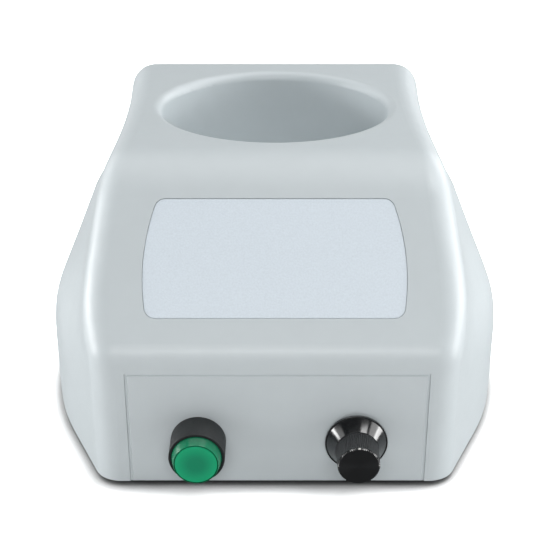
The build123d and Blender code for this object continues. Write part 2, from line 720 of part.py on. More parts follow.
bushing = along(
    KNOB_AXIS,
    [
        (SHAFT_RADIUS + RUNNING, POT_NUT_HEIGHT + 0.8),
        (BUSHING_RADIUS - 0.4, POT_NUT_HEIGHT + 0.8),
        (BUSHING_RADIUS, POT_NUT_HEIGHT + 0.4),
        (BUSHING_RADIUS, -panel_depth),
        (POT_RADIUS, -panel_depth),
        (POT_RADIUS, -plate_back),
        (SHAFT_RADIUS + RUNNING, -plate_back),
    ],
)
export_piece(bushing, "pot_bushing")

pot_can_turned = along(
    KNOB_AXIS,
    [
        (POT_RADIUS, -plate_back),
        (POT_RADIUS, -can_back),
        (0, -can_back),
        (0, -can_back + 0.8),
        (POT_RADIUS - 0.8, -can_back + 0.8),
        (POT_RADIUS - 0.8, -plate_back),
    ],
)
with BuildPart() as pot_can:
    add(pot_can_turned)
    # solder tabs on top
    with BuildSketch(Plane.XY.offset(CONTROL_Z + POT_RADIUS - 2.5)):
        with Locations((KNOB_X, FRONT_Y + plate_back + 3)):
            with GridLocations(5, 1, 3, 1):
                Rectangle(1.4, 0.6)
    extrude(amount=9)
export_piece(pot_can.part, "pot_can")
export_piece(hex_nut(KNOB_AXIS, POT_NUT_ACROSS, BUSHING_RADIUS + 0.05, POT_NUT_HEIGHT), "pot_nut")

# Pump: crankcase with its bearing-side wall towards the motor
ROD_X = PUMP_MIDDLE
case_left = ROD_X - CRANKCASE_SIZE / 2
case_right = ROD_X + CRANKCASE_SIZE / 2
DISC_Y = PUMP_Y + CRANK_THROW + ROD_LENGTH
SEAT_Y = DISC_Y - DIAPHRAGM_THICKNESS / 2
CAVITY_RADIUS = CRANKCASE_SIZE / 2 - CRANKCASE_WALL - 1.5
COVER_RADIUS = CAVITY_RADIUS + 1.5
COVER_THICKNESS = 2.0
THROAT_RADIUS = CLAMP_RADIUS + CRANK_THROW + 2.4
HEAD_PLACES = [
    (ROD_X + sx * HEAD_SCREW_SPACING / 2, PUMP_Z + sz * HEAD_SCREW_SPACING / 2)
    for sx in (-1, 1)
    for sz in (-1, 1)
]
crank_back = CRANKCASE_SIZE / 2
with BuildPart() as crankcase:
    with BuildSketch(Plane.YZ.offset(case_left)):
        with Locations(((SEAT_Y + PUMP_Y - crank_back) / 2, PUMP_Z)):
            RectangleRounded(SEAT_Y - PUMP_Y + crank_back, CRANKCASE_SIZE, 3)
    extrude(amount=CRANKCASE_SIZE)
    with BuildSketch(Plane.YZ.offset(case_left + CRANKCASE_WALL)):
        with Locations((PUMP_Y, PUMP_Z)):
            Circle(CAVITY_RADIUS)
    extrude(amount=CRANKCASE_SIZE, mode=Mode.SUBTRACT)
    with BuildSketch(Plane.YZ.offset(case_right - COVER_THICKNESS)):
        with Locations((PUMP_Y, PUMP_Z)):
            Circle(COVER_RADIUS)
    extrude(amount=COVER_THICKNESS, mode=Mode.SUBTRACT)
    # throat for the connecting rod
    with BuildSketch(Plane.XZ.offset(-PUMP_Y)):
        with Locations((ROD_X, PUMP_Z)):
            Circle(THROAT_RADIUS)
    extrude(amount=-(SEAT_Y - PUMP_Y), mode=Mode.SUBTRACT)
    # hole for the motor's nose and holes for its two screws
    with BuildSketch(Plane.YZ.offset(case_left)):
        with Locations((PUMP_Y, PUMP_Z)):
            Circle(5.1)
        with Locations((PUMP_Y, PUMP_Z + 10), (PUMP_Y, PUMP_Z - 10)):
            Circle(1.35)
    extrude(amount=CRANKCASE_WALL, mode=Mode.SUBTRACT)
    # tapped holes for the head
    with BuildSketch(Plane.XZ.offset(-SEAT_Y)):
        with Locations(*HEAD_PLACES):
            Circle(1.3)
    extrude(amount=8, mode=Mode.SUBTRACT)
    # cooling ribs on top
    with BuildSketch(Plane.XY.offset(PUMP_Z + CRANKCASE_SIZE / 2)):
        with Locations((ROD_X, PUMP_Y)):
            with GridLocations(6, 1, 5, 1):
                Rectangle(1.6, 24)
    extrude(amount=RIB_HEIGHT)
export_piece(crankcase.part, "crankcase")

with BuildPart() as crank_cover:
    with BuildSketch(Plane.YZ.offset(case_right - COVER_THICKNESS)):
        with Locations((PUMP_Y, PUMP_Z)):
            Circle(COVER_RADIUS - 0.03)
    extrude(amount=COVER_THICKNESS)
    with BuildSketch(Plane.YZ.offset(case_right)):
        with Locations((PUMP_Y, PUMP_Z)):
            Circle(COVER_RADIUS - 5)
    extrude(amount=-0.8, mode=Mode.SUBTRACT)
export_piece(crank_cover.part, "crankcase_cover")


def spindle(x_start, outline):
    """Turns a half outline, given as (distance to the right, radius), about the pump shaft."""
    with BuildPart(mode=Mode.PRIVATE) as turned:
        with BuildSketch(Plane(origin=(x_start, PUMP_Y, PUMP_Z), x_dir=(1, 0, 0), z_dir=(0, -1, 0))):
            with BuildLine():
                Polyline(*outline, close=True)
            make_face()
        revolve(axis=Axis((x_start, PUMP_Y, PUMP_Z), (1, 0, 0)))
    return turned.part


# Motor: steel can, end cap, magnets, bushes and the rotor that turns in them
motor_left = case_left - MOTOR_LENGTH
CAP_THICKNESS = 5.0
PLATE_THICKNESS = 2.0
BUSH_RADIUS = 4.0
nose = 2.5
with BuildPart() as motor_can:
    add(
        spindle(
            motor_left + CAP_THICKNESS,
            [
                (0, MOTOR_RADIUS - MOTOR_WALL),
                (MOTOR_LENGTH - CAP_THICKNESS - PLATE_THICKNESS, MOTOR_RADIUS - MOTOR_WALL),
                (MOTOR_LENGTH - CAP_THICKNESS - PLATE_THICKNESS, BUSH_RADIUS),
                (MOTOR_LENGTH - CAP_THICKNESS + nose, BUSH_RADIUS),
                (MOTOR_LENGTH - CAP_THICKNESS + nose, 5.0),
                (MOTOR_LENGTH - CAP_THICKNESS, 5.0),
                (MOTOR_LENGTH - CAP_THICKNESS, MOTOR_RADIUS - 1.5),
                (MOTOR_LENGTH - CAP_THICKNESS - 1.5, MOTOR_RADIUS),
                (0, MOTOR_RADIUS),
            ],
        )
    )
    with BuildSketch(Plane.YZ.offset(case_left)):
        with Locations((PUMP_Y, PUMP_Z + 10), (PUMP_Y, PUMP_Z - 10)):
            Circle(1.3)
    extrude(amount=-PLATE_THICKNESS, mode=Mode.SUBTRACT)
export_piece(motor_can.part, "motor_can")

cap = spindle(
    motor_left,
    [
        (0, 6),
        (2, MOTOR_RADIUS - 2),
        (2, MOTOR_RADIUS),
        (CAP_THICKNESS, MOTOR_RADIUS),
        (CAP_THICKNESS, MOTOR_RADIUS - MOTOR_WALL - 0.05),
        (CAP_THICKNESS + 2, MOTOR_RADIUS - MOTOR_WALL - 0.05),
        (CAP_THICKNESS + 2, MOTOR_RADIUS - MOTOR_WALL - 2),
        (CAP_THICKNESS, MOTOR_RADIUS - MOTOR_WALL - 2),
        (CAP_THICKNESS, BUSH_RADIUS),
        (1.2, BUSH_RADIUS),
        (1.2, 0),
        (0, 0),
    ],
)
with BuildPart() as end_cap:
    add(cap)
    with BuildSketch(Plane.YZ.offset(motor_left + 2)):
        with Locations((PUMP_Y, PUMP_Z)):
            with GridLocations(20, 1, 2, 1):
                Rectangle(0.8, 3)
    extrude(amount=-7)
export_piece(end_cap.part, "motor_end_cap")

with BuildPart() as magnets:
    with BuildSketch(Plane.YZ.offset(motor_left + CAP_THICKNESS + 8)):
        with Locations((PUMP_Y, PUMP_Z)):
            Circle(MOTOR_RADIUS - MOTOR_WALL)
            Circle(12.2, mode=Mode.SUBTRACT)
            Rectangle(9, 40, mode=Mode.SUBTRACT)
    extrude(amount=30)
export_piece(magnets.part, "motor_magnets")

with BuildPart() as bushes:
    left_bush = (motor_left + 1.2, CAP_THICKNESS - 1.2)
    right_bush = (case_left - PLATE_THICKNESS, PLATE_THICKNESS + nose)
    for x_low, length in (left_bush, right_bush):
        with BuildSketch(Plane.YZ.offset(x_low)):
            with Locations((PUMP_Y, PUMP_Z)):
                Circle(BUSH_RADIUS)
                Circle(MOTOR_SHAFT_RADIUS + 0.04, mode=Mode.SUBTRACT)
        extrude(amount=length)
export_piece(bushes.part, "motor_bushes")

shaft_left = motor_left + 1.6
shaft_right = ROD_X - ROD_WIDTH / 2 - 1.5
core_left = motor_left + CAP_THICKNESS + 11 - shaft_left
with BuildPart() as rotor:
    add(
        spindle(
            shaft_left,
            [
                (0, 0),
                (0, MOTOR_SHAFT_RADIUS),
                (core_left - 8, MOTOR_SHAFT_RADIUS),
                (core_left - 8, 5),
                (core_left, 5),
                (core_left, 11.5),
                (core_left + 24, 11.5),
                (core_left + 24, MOTOR_SHAFT_RADIUS),
                (shaft_right - shaft_left, MOTOR_SHAFT_RADIUS),
                (shaft_right - shaft_left, 0),
            ],
        )
    )
    # winding slots along the core
    with BuildSketch(Plane.YZ.offset(shaft_left + core_left)):
        with Locations((PUMP_Y, PUMP_Z)):
            with PolarLocations(10.5, 5):
                Rectangle(5, 1.6)
    extrude(amount=24, mode=Mode.SUBTRACT)
export_piece(rotor.part, "motor_rotor")

# Eccentric: hub with a balance weight opposite its crank pin; at rest the pin points at the head
hub_right = ROD_X - ROD_WIDTH / 2 - 0.6
hub_left = hub_right - 7
with BuildPart() as eccentric:
    with BuildSketch(Plane.YZ.offset(hub_left)):
        with Locations((PUMP_Y, PUMP_Z)):
            Circle(6)
    extrude(amount=hub_right - hub_left)
    with BuildSketch(Plane.YZ.offset(hub_left)):
        with Locations((PUMP_Y, PUMP_Z)):
            Circle(CAVITY_RADIUS - 1.5)
            Rectangle(30, 30, align=(Align.MIN, Align.CENTER), mode=Mode.SUBTRACT)
    extrude(amount=5)
    with BuildSketch(Plane.YZ.offset(hub_right)):
        with Locations((PUMP_Y + CRANK_THROW, PUMP_Z)):
            Circle(CRANK_PIN_RADIUS)
    extrude(amount=ROD_WIDTH + 1.8)
    with BuildSketch(Plane.YZ.offset(hub_left)):
        with Locations((PUMP_Y, PUMP_Z)):
            Circle(MOTOR_SHAFT_RADIUS)
    extrude(amount=shaft_right - hub_left, mode=Mode.SUBTRACT)
export_piece(eccentric.part, "eccentric")

# Connecting rod with its ball race; its head carries the middle of the diaphragm
PIN_Y = PUMP_Y + CRANK_THROW
RACE_RADIUS = 5.5
with BuildPart() as race:
    with BuildSketch(Plane.YZ.offset(ROD_X - ROD_WIDTH / 2 + 0.5)):
        with Locations((PIN_Y, PUMP_Z)):
            Circle(RACE_RADIUS)
            Circle(CRANK_PIN_RADIUS + RUNNING, mode=Mode.SUBTRACT)
    extrude(amount=ROD_WIDTH - 1)
export_piece(race.part, "rod_bearing")

hub_back = DISC_Y + DIAPHRAGM_THICKNESS / 2
with BuildPart() as rod:
    with BuildSketch(Plane.YZ.offset(ROD_X - ROD_WIDTH / 2)):
        with Locations((PIN_Y, PUMP_Z)):
            Circle(RACE_RADIUS + 2)
        with Locations(((PIN_Y + DISC_Y) / 2, PUMP_Z)):
            Rectangle(ROD_LENGTH - 2, 6)
    extrude(amount=ROD_WIDTH)
    with BuildSketch(Plane.YZ.offset(ROD_X - ROD_WIDTH / 2)):
        with Locations((PIN_Y, PUMP_Z)):
            Circle(RACE_RADIUS)
    extrude(amount=ROD_WIDTH, mode=Mode.SUBTRACT)
    # plate under the diaphragm and the hub through it
    with BuildSketch(Plane.XZ.offset(-(DISC_Y - CLAMP_THICKNESS - 1.5))):
        with Locations((ROD_X, PUMP_Z)):
            Circle(CLAMP_RADIUS)
    extrude(amount=-(CLAMP_THICKNESS + 1.5 + DIAPHRAGM_THICKNESS / 2))
    with BuildSketch(Plane.XZ.offset(-hub_back)):
        with Locations((ROD_X, PUMP_Z)):
            Circle(1.5)
    extrude(amount=8, mode=Mode.SUBTRACT)
export_piece(rod.part, "connecting_rod")

with BuildPart() as clamp:
    with BuildSketch(Plane.XZ.offset(-hub_back)):
        with Locations((ROD_X, PUMP_Z)):
            Circle(CLAMP_RADIUS)
            Circle(1.55, mode=Mode.SUBTRACT)
    extrude(amount=-CLAMP_THICKNESS)
    chamfer(clamp.faces().sort_by(Axis.Y)[-1].outer_wire().edges(), 0.5)
    with BuildSketch(Plane.XZ.offset(-(hub_back + CLAMP_THICKNESS))):
        with Locations((ROD_X, PUMP_Z)):
            Circle(3)
    extrude(amount=1.2, mode=Mode.SUBTRACT)
export_piece(clamp.part, "diaphragm_clamp")

with BuildPart() as clamp_screw:
    with BuildSketch(Plane.XZ.offset(-(hub_back + CLAMP_THICKNESS - 1.2))):
        with Locations((ROD_X, PUMP_Z)):
            Circle(2.8)
            RegularPolygon(1.2, 6, mode=Mode.SUBTRACT)
    extrude(amount=-1.1)
    with BuildSketch(Plane.XZ.offset(-(hub_back + CLAMP_THICKNESS - 1.2))):
        with Locations((ROD_X, PUMP_Z)):
            Circle(1.45)
    extrude(amount=7)
export_piece(clamp_screw.part, "clamp_screw")

# Diaphragm: clamped at its rim, with a rolled bead round the moving middle
inner_edge = CLAMP_RADIUS + CRANK_THROW + 0.4
bead_radius = (THROAT_RADIUS - inner_edge) / 2 - 0.1
with BuildPart() as diaphragm:
    with BuildSketch(Plane(origin=(ROD_X, DISC_Y, PUMP_Z), x_dir=(1, 0, 0), z_dir=(0, 0, 1))):
        with Locations(((inner_edge + bead_radius + DIAPHRAGM_RADIUS) / 2, 0)):
            Rectangle(DIAPHRAGM_RADIUS - inner_edge - bead_radius, DIAPHRAGM_THICKNESS)
        with Locations((inner_edge + bead_radius, 0)):
            RegularPolygon(bead_radius, 8)
    revolve(axis=Axis((ROD_X, DISC_Y, PUMP_Z), (0, 1, 0)))
export_piece(diaphragm.part, "diaphragm")

# Valve plate, its two flap discs and the head with its two hose barbs
PLATE_Y = DISC_Y + DIAPHRAGM_THICKNESS / 2
HEAD_Y = PLATE_Y + VALVE_PLATE_THICKNESS
BARB_PLACES = [(ROD_X - BARB_SPACING / 2, PUMP_Z), (ROD_X + BARB_SPACING / 2, PUMP_Z)]
flap_radius = 4.6
with BuildPart() as valve_plate:
    with BuildSketch(Plane.XZ.offset(-PLATE_Y)):
        with Locations((ROD_X, PUMP_Z)):
            RectangleRounded(CRANKCASE_SIZE, CRANKCASE_SIZE, 3)
        with Locations(*HEAD_PLACES):
            Circle(1.4, mode=Mode.SUBTRACT)
    extrude(amount=-VALVE_PLATE_THICKNESS)
    # shallow dish over the diaphragm's middle
    with BuildSketch(Plane.XZ.offset(-PLATE_Y)):
        with Locations((ROD_X, PUMP_Z)):
            Circle(THROAT_RADIUS)
    extrude(amount=-(CLAMP_THICKNESS + 0.5), mode=Mode.SUBTRACT)
    with BuildSketch(Plane.XZ.offset(-PLATE_Y)):
        with Locations(*BARB_PLACES):
            with PolarLocations(2.4, 4):
                Circle(0.9)
    extrude(amount=-VALVE_PLATE_THICKNESS, mode=Mode.SUBTRACT)
    with BuildSketch(Plane.XZ.offset(-HEAD_Y)):
        with Locations(*BARB_PLACES):
            Circle(flap_radius + 0.1)
    extrude(amount=0.6, mode=Mode.SUBTRACT)
export_piece(valve_plate.part, "valve_plate")

with BuildPart() as flaps:
    with BuildSketch(Plane.XZ.offset(-(HEAD_Y - 0.6))):
        with Locations(*BARB_PLACES):
            Circle(flap_radius)
    extrude(amount=-0.5)
export_piece(flaps.part, "valve_flaps")


def hose_barb(plane, radius, bore, length):
    """Barbed spigot with two ridges, on the plane's origin and along its normal."""
    with BuildPart(mode=Mode.PRIVATE) as barb:
        with BuildSketch(plane):
            Circle(radius * 0.86)
        extrude(amount=length)
        for share in (0.3, 0.65):
            with BuildSketch(plane.offset(length * share)):
                Circle(radius)
            extrude(amount=length * 0.25, taper=degrees(atan2(radius * 0.14, length * 0.25)))
        with BuildSketch(plane):
            Circle(bore)
        extrude(amount=length, mode=Mode.SUBTRACT)
    return barb.part


def facing_rear(px, py, pz):
    """Plane through a point with its normal towards the rear."""
    return Plane(origin=(px, py, pz), x_dir=(1, 0, 0), z_dir=(0, 1, 0))


barb_radius = TUBE_BORE_RADIUS - 0.05
barb_bore = 1.3
HEAD_FACE_Y = HEAD_Y + HEAD_THICKNESS
with BuildPart() as head:
    with BuildSketch(Plane.XZ.offset(-HEAD_Y)):
        with Locations((ROD_X, PUMP_Z)):
            RectangleRounded(CRANKCASE_SIZE, CRANKCASE_SIZE, 3)
        with Locations(*HEAD_PLACES):
            Circle(1.4, mode=Mode.SUBTRACT)
    extrude(amount=-HEAD_THICKNESS)
    chamfer(head.faces().sort_by(Axis.Y)[-1].outer_wire().edges(), 0.8)
    with BuildSketch(Plane.XZ.offset(-HEAD_Y)):
        with Locations(*BARB_PLACES):
            Circle(flap_radius - 0.6)
    extrude(amount=-(HEAD_THICKNESS - 3), mode=Mode.SUBTRACT)
    with BuildSketch(Plane.XZ.offset(-HEAD_FACE_Y)):
        with Locations(*BARB_PLACES):
            Circle(barb_bore)
    extrude(amount=4, mode=Mode.SUBTRACT)
    for px, pz in BARB_PLACES:
        add(hose_barb(facing_rear(px, HEAD_FACE_Y, pz), barb_radius, barb_bore, BARB_LENGTH))
export_piece(head.part, "pump_head")

with BuildPart() as head_screws:
    with BuildSketch(Plane.XZ.offset(-HEAD_FACE_Y)):
        with Locations(*HEAD_PLACES):
            Circle(2.5)
            RegularPolygon(1.2, 6, mode=Mode.SUBTRACT)
    extrude(amount=-2)
    with BuildSketch(Plane.XZ.offset(-HEAD_FACE_Y)):
        with Locations(*HEAD_PLACES):
            Circle(1.25)
    extrude(amount=HEAD_FACE_Y - SEAT_Y + 6)
export_piece(head_screws.part, "head_screws")

with BuildPart() as motor_screws:
    with BuildSketch(Plane.YZ.offset(case_left + CRANKCASE_WALL)):
        with Locations((PUMP_Y, PUMP_Z + 10), (PUMP_Y, PUMP_Z - 10)):
            Circle(2.2)
    extrude(amount=1.2)
    with BuildSketch(Plane.YZ.offset(case_left + CRANKCASE_WALL)):
        with Locations((PUMP_Y, PUMP_Z + 10), (PUMP_Y, PUMP_Z - 10)):
            Circle(1.25)
    extrude(amount=-CRANKCASE_WALL - PLATE_THICKNESS)
export_piece(motor_screws.part, "motor_screws")

# Bracket under the pump, on four rubber isolators
BRACKET_Z = FLOOR_Z + ISOLATOR_HEIGHT
bracket_x = FOOT_SPREAD_X + 2 * ISOLATOR_RADIUS + 4
bracket_y = FOOT_SPREAD_Y + 2 * ISOLATOR_RADIUS + 2
with BuildPart() as bracket:
    with BuildSketch(Plane.XY.offset(BRACKET_Z)):
        with Locations((PUMP_MIDDLE, PUMP_Y)):
            RectangleRounded(bracket_x, bracket_y, 6)
        with Locations(*PUMP_FEET):
            Circle(3.1, mode=Mode.SUBTRACT)
        # window under the motor
        with Locations((PUMP_MIDDLE - 25, PUMP_Y)):
            RectangleRounded(8, 34, 3, mode=Mode.SUBTRACT)
    extrude(amount=BRACKET_THICKNESS)
    # turned-up lip along the front edge
    with BuildSketch(Plane.XY.offset(BRACKET_Z)):
        with Locations((PUMP_MIDDLE, PUMP_Y - bracket_y / 2)):
            lip_width = FOOT_SPREAD_X - 2 * ISOLATOR_RADIUS - 2
            Rectangle(lip_width, BRACKET_THICKNESS, align=(Align.CENTER, Align.MIN))
    extrude(amount=6)
export_piece(bracket.part, "pump_bracket")

with BuildPart() as isolators:
    with BuildSketch(Plane.XY.offset(FLOOR_Z)):
        with Locations(*PUMP_FEET):
            Circle(ISOLATOR_RADIUS)
    extrude(amount=ISOLATOR_HEIGHT)
    with BuildSketch(Plane.XY.offset(BRACKET_Z)):
        with Locations(*PUMP_FEET):
            Circle(3.05)
    extrude(amount=BRACKET_THICKNESS)
    with BuildSketch(Plane.XY.offset(BRACKET_Z + BRACKET_THICKNESS)):
        with Locations(*PUMP_FEET):
            Circle(ISOLATOR_RADIUS)
    extrude(amount=1.5)
    with BuildSketch(Plane.XY.offset(FLOOR_Z)):
        with Locations(*PUMP_FEET):
            Circle(SCREW_SHANK + 0.05)
    extrude(amount=20, mode=Mode.SUBTRACT)
export_piece(isolators.part, "pump_isolators")

isolator_top = BRACKET_Z + BRACKET_THICKNESS + 1.5
with BuildPart() as isolator_screws:
    with BuildSketch(Plane.XY.offset(isolator_top)):
        with Locations(*PUMP_FEET):
            Circle(2.8)
    extrude(amount=1.6)
    with BuildSketch(Plane.XY.offset(isolator_top + 1.6)):
        with Locations(*PUMP_FEET):
            Rectangle(3.2, 0.7)
            Rectangle(0.7, 3.2)
    extrude(amount=-0.9, mode=Mode.SUBTRACT)
    with BuildSketch(Plane.XY.offset(isolator_top)):
        with Locations(*PUMP_FEET):
            Circle(SCREW_SHANK)
    extrude(amount=BASE_Z - isolator_top)
export_piece(isolator_screws.part, "isolator_screws")

# Circuit board on its standoffs, with what it carries
BOARD_Z = FLOOR_Z + BOARD_LIFT
BOARD_TOP = BOARD_Z + BOARD_THICKNESS
with BuildPart() as board:
    with BuildSketch(Plane.XY.offset(BOARD_Z)):
        with Locations((BOARD_X, BOARD_Y)):
            RectangleRounded(BOARD_WIDTH, BOARD_LENGTH, 2)
        with Locations(*BOARD_HOLES):
            Circle(1.5, mode=Mode.SUBTRACT)
    extrude(amount=BOARD_THICKNESS)
export_piece(board.part, "circuit_board")

with BuildPart() as board_screws:
    with BuildSketch(Plane.XY.offset(BOARD_TOP)):
        with Locations(*BOARD_HOLES):
            Circle(2.4)
    extrude(amount=1.5)
    with BuildSketch(Plane.XY.offset(BOARD_TOP)):
        with Locations(*BOARD_HOLES):
            Circle(0.95)
    extrude(amount=-5)
export_piece(board_screws.part, "board_screws")

with BuildPart() as capacitors:
    with BuildSketch(Plane.XY.offset(BOARD_TOP)):
        with Locations((BOARD_X - 8, BOARD_Y + 20), (BOARD_X + 6, BOARD_Y + 20)):
            Circle(5)
    extrude(amount=13)
    chamfer(capacitors.edges().group_by(Axis.Z)[-1], 0.6)
export_piece(capacitors.part, "board_capacitors")

with BuildPart() as terminals:
    with BuildSketch(Plane.XY.offset(BOARD_TOP)):
        with Locations((BOARD_X, BOARD_Y - 24)):
            Rectangle(24, 8)
    extrude(amount=9)
    chamfer(terminals.edges().group_by(Axis.Z)[-1].filter_by(Axis.X).sort_by(Axis.Y)[0], 2.5)
    with BuildSketch(Plane.XZ.offset(-(BOARD_Y - 28))):
        with Locations((BOARD_X, BOARD_TOP + 3)):
            with GridLocations(5.6, 1, 4, 1):
                Rectangle(3.4, 3.4)
    extrude(amount=-5, mode=Mode.SUBTRACT)
    with BuildSketch(Plane.XY.offset(BOARD_TOP + 9)):
        with Locations((BOARD_X, BOARD_Y - 23)):
            with GridLocations(5.6, 1, 4, 1):
                Circle(1.5)
    extrude(amount=-2, mode=Mode.SUBTRACT)
export_piece(terminals.part, "terminal_block")

with BuildPart() as heat_sink:
    with BuildSketch(Plane.XY.offset(BOARD_TOP)):
        with Locations((BOARD_X, BOARD_Y - 2)):
            Rectangle(22, 2)
            with Locations((0, 4.5)):
                with GridLocations(4, 1, 6, 1):
                    Rectangle(1.2, 9)
    extrude(amount=20)
export_piece(heat_sink.part, "heat_sink")

with BuildPart() as transistor:
    with BuildSketch(Plane.XY.offset(BOARD_TOP + 4)):
        with Locations((BOARD_X, BOARD_Y - 3)):
            Rectangle(10, 4.4, align=(Align.CENTER, Align.MAX))
    extrude(amount=12)
    with BuildSketch(Plane.XY.offset(BOARD_TOP)):
        with Locations((BOARD_X, BOARD_Y - 5)):
            with GridLocations(2.54, 1, 3, 1):
                Rectangle(0.8, 0.5)
    extrude(amount=4)
export_piece(transistor.part, "power_transistor")

# Rear fittings: vacuum port, exhaust silencer and power jack, each with its nut inside
INNER_REAR_Y = REAR_Y - WALL


def facing_front(px, py, pz):
    """Plane through a point with its normal towards the front."""
    return Plane(origin=(px, py, pz), x_dir=(1, 0, 0), z_dir=(0, -1, 0))


inner_nut_y = INNER_REAR_Y - PORT_NUT
with BuildPart() as port:
    with BuildSketch(facing_rear(PORT_X, REAR_Y, PUMP_Z)):
        RegularPolygon(7.5, 6, major_radius=False)
    extrude(amount=PORT_FLANGE)
    with BuildSketch(facing_front(PORT_X, REAR_Y, PUMP_Z)):
        Circle(PORT_THREAD)
    extrude(amount=WALL + PORT_NUT)
    port_barb_length = REAR_STICKOUT - PORT_FLANGE
    port_face = facing_rear(PORT_X, REAR_Y + PORT_FLANGE, PUMP_Z)
    add(hose_barb(port_face, PORT_BARB_RADIUS, barb_bore, port_barb_length))
    add(hose_barb(facing_front(PORT_X, inner_nut_y, PUMP_Z), barb_radius, barb_bore, BARB_LENGTH))
    with BuildSketch(facing_front(PORT_X, REAR_Y + REAR_STICKOUT, PUMP_Z)):
        Circle(barb_bore)
    extrude(amount=REAR_STICKOUT + WALL + PORT_NUT + BARB_LENGTH, mode=Mode.SUBTRACT)
export_piece(port.part, "vacuum_port")

with BuildPart() as silencer:
    with BuildSketch(facing_rear(EXHAUST_X, REAR_Y, PUMP_Z)):
        RegularPolygon(7.5, 6, major_radius=False)
    extrude(amount=PORT_FLANGE)
    with BuildSketch(facing_rear(EXHAUST_X, REAR_Y + PORT_FLANGE, PUMP_Z)):
        Circle(6)
    extrude(amount=9)
    fillet(silencer.faces().sort_by(Axis.Y)[-1].edges(), 2.5)
    with BuildSketch(facing_front(EXHAUST_X, REAR_Y, PUMP_Z)):
        Circle(PORT_THREAD)
    extrude(amount=WALL + PORT_NUT)
    add(hose_barb(facing_front(EXHAUST_X, inner_nut_y, PUMP_Z), barb_radius, barb_bore, BARB_LENGTH))
    with BuildSketch(facing_rear(EXHAUST_X, inner_nut_y - BARB_LENGTH, PUMP_Z)):
        Circle(barb_bore)
    extrude(amount=BARB_LENGTH + PORT_NUT + WALL + PORT_FLANGE + 4, mode=Mode.SUBTRACT)
export_piece(silencer.part, "exhaust_silencer")

jack_depth = 14.0
with BuildPart() as jack:
    with BuildSketch(facing_rear(JACK_X, REAR_Y, PUMP_Z)):
        Circle(JACK_RADIUS + 2)
    extrude(amount=2)
    fillet(jack.faces().sort_by(Axis.Y)[-1].edges(), 0.6)
    with BuildSketch(facing_front(JACK_X, REAR_Y, PUMP_Z)):
        Circle(JACK_RADIUS)
    extrude(amount=jack_depth)
    with BuildSketch(facing_front(JACK_X, REAR_Y + 2, PUMP_Z)):
        Circle(2.75)
    extrude(amount=11, mode=Mode.SUBTRACT)
    with BuildSketch(facing_front(JACK_X, REAR_Y + 1, PUMP_Z)):
        Circle(1.05)
    extrude(amount=10.5)
export_piece(jack.part, "power_jack")


def rear_nut(px, across, bore, name):
    """Nut inside the casing's rear wall."""
    with BuildPart(mode=Mode.PRIVATE) as nut:
        with BuildSketch(facing_front(px, INNER_REAR_Y, PUMP_Z)):
            RegularPolygon(across / 2, 6, major_radius=False)
            Circle(bore, mode=Mode.SUBTRACT)
        extrude(amount=PORT_NUT - 0.5)
    export_piece(nut.part, name)


rear_nut(PORT_X, PORT_NUT_ACROSS, PORT_THREAD + 0.05, "vacuum_port_nut")
rear_nut(EXHAUST_X, PORT_NUT_ACROSS, PORT_THREAD + 0.05, "exhaust_nut")
rear_nut(JACK_X, JACK_NUT_ACROSS, JACK_RADIUS + 0.05, "power_jack_nut")


def tube(x_from, x_to, name):
    """Silicone tube from a barb on the pump head to a barb inside the rear wall."""
    y_from = HEAD_FACE_Y + FIT
    y_to = inner_nut_y - FIT
    straight = 2 * BARB_LENGTH
    turn = atan2(abs(x_to - x_from), y_to - y_from - 2 * straight)
    bend = 0.45 * straight / tan(turn / 2)
    with BuildPart(mode=Mode.PRIVATE) as hose:
        with BuildLine() as route:
            FilletPolyline(
                (x_from, y_from, PUMP_Z),
                (x_from, y_from + straight, PUMP_Z),
                (x_to, y_to - straight, PUMP_Z),
                (x_to, y_to, PUMP_Z),
                radius=bend,
            )
        with BuildSketch(facing_rear(x_from, y_from, PUMP_Z)):
            Circle(TUBE_BORE_RADIUS + TUBE_WALL)
            Circle(TUBE_BORE_RADIUS, mode=Mode.SUBTRACT)
        sweep(path=route.wires()[0])
    section = pi * ((TUBE_BORE_RADIUS + TUBE_WALL) ** 2 - TUBE_BORE_RADIUS**2)
    fill = hose.part.volume / section / route.wires()[0].length
    print(name, "bend radius", round(bend, 1), "volume over section times length", round(fill, 4))
    export_piece(hose.part, name)


tube(ROD_X - BARB_SPACING / 2, PORT_X, "suction_tube")
tube(ROD_X + BARB_SPACING / 2, EXHAUST_X, "exhaust_tube")
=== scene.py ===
from math import atan2, pi, radians, tau

import bpy
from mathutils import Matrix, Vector


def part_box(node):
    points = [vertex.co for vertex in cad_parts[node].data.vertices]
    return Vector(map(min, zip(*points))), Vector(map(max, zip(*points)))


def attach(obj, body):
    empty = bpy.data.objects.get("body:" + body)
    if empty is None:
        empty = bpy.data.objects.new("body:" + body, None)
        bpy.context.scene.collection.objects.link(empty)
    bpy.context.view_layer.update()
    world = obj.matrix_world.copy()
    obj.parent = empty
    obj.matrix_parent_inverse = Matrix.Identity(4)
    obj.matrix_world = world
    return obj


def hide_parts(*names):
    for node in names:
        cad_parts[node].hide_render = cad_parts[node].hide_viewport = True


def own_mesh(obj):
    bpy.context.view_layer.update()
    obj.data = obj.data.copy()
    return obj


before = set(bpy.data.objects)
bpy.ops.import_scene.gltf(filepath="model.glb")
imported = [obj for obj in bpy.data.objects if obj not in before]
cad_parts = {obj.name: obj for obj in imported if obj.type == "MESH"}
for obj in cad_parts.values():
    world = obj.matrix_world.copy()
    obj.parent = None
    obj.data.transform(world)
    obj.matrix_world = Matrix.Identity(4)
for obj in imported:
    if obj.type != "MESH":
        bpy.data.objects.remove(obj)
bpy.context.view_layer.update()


# Top casing: one injection moulding in light grey plastic with a fine spark-eroded grain.
# Its form is the CAD solid's; the grain, its slight mottling and the soft sheen come here.

mm = 0.001


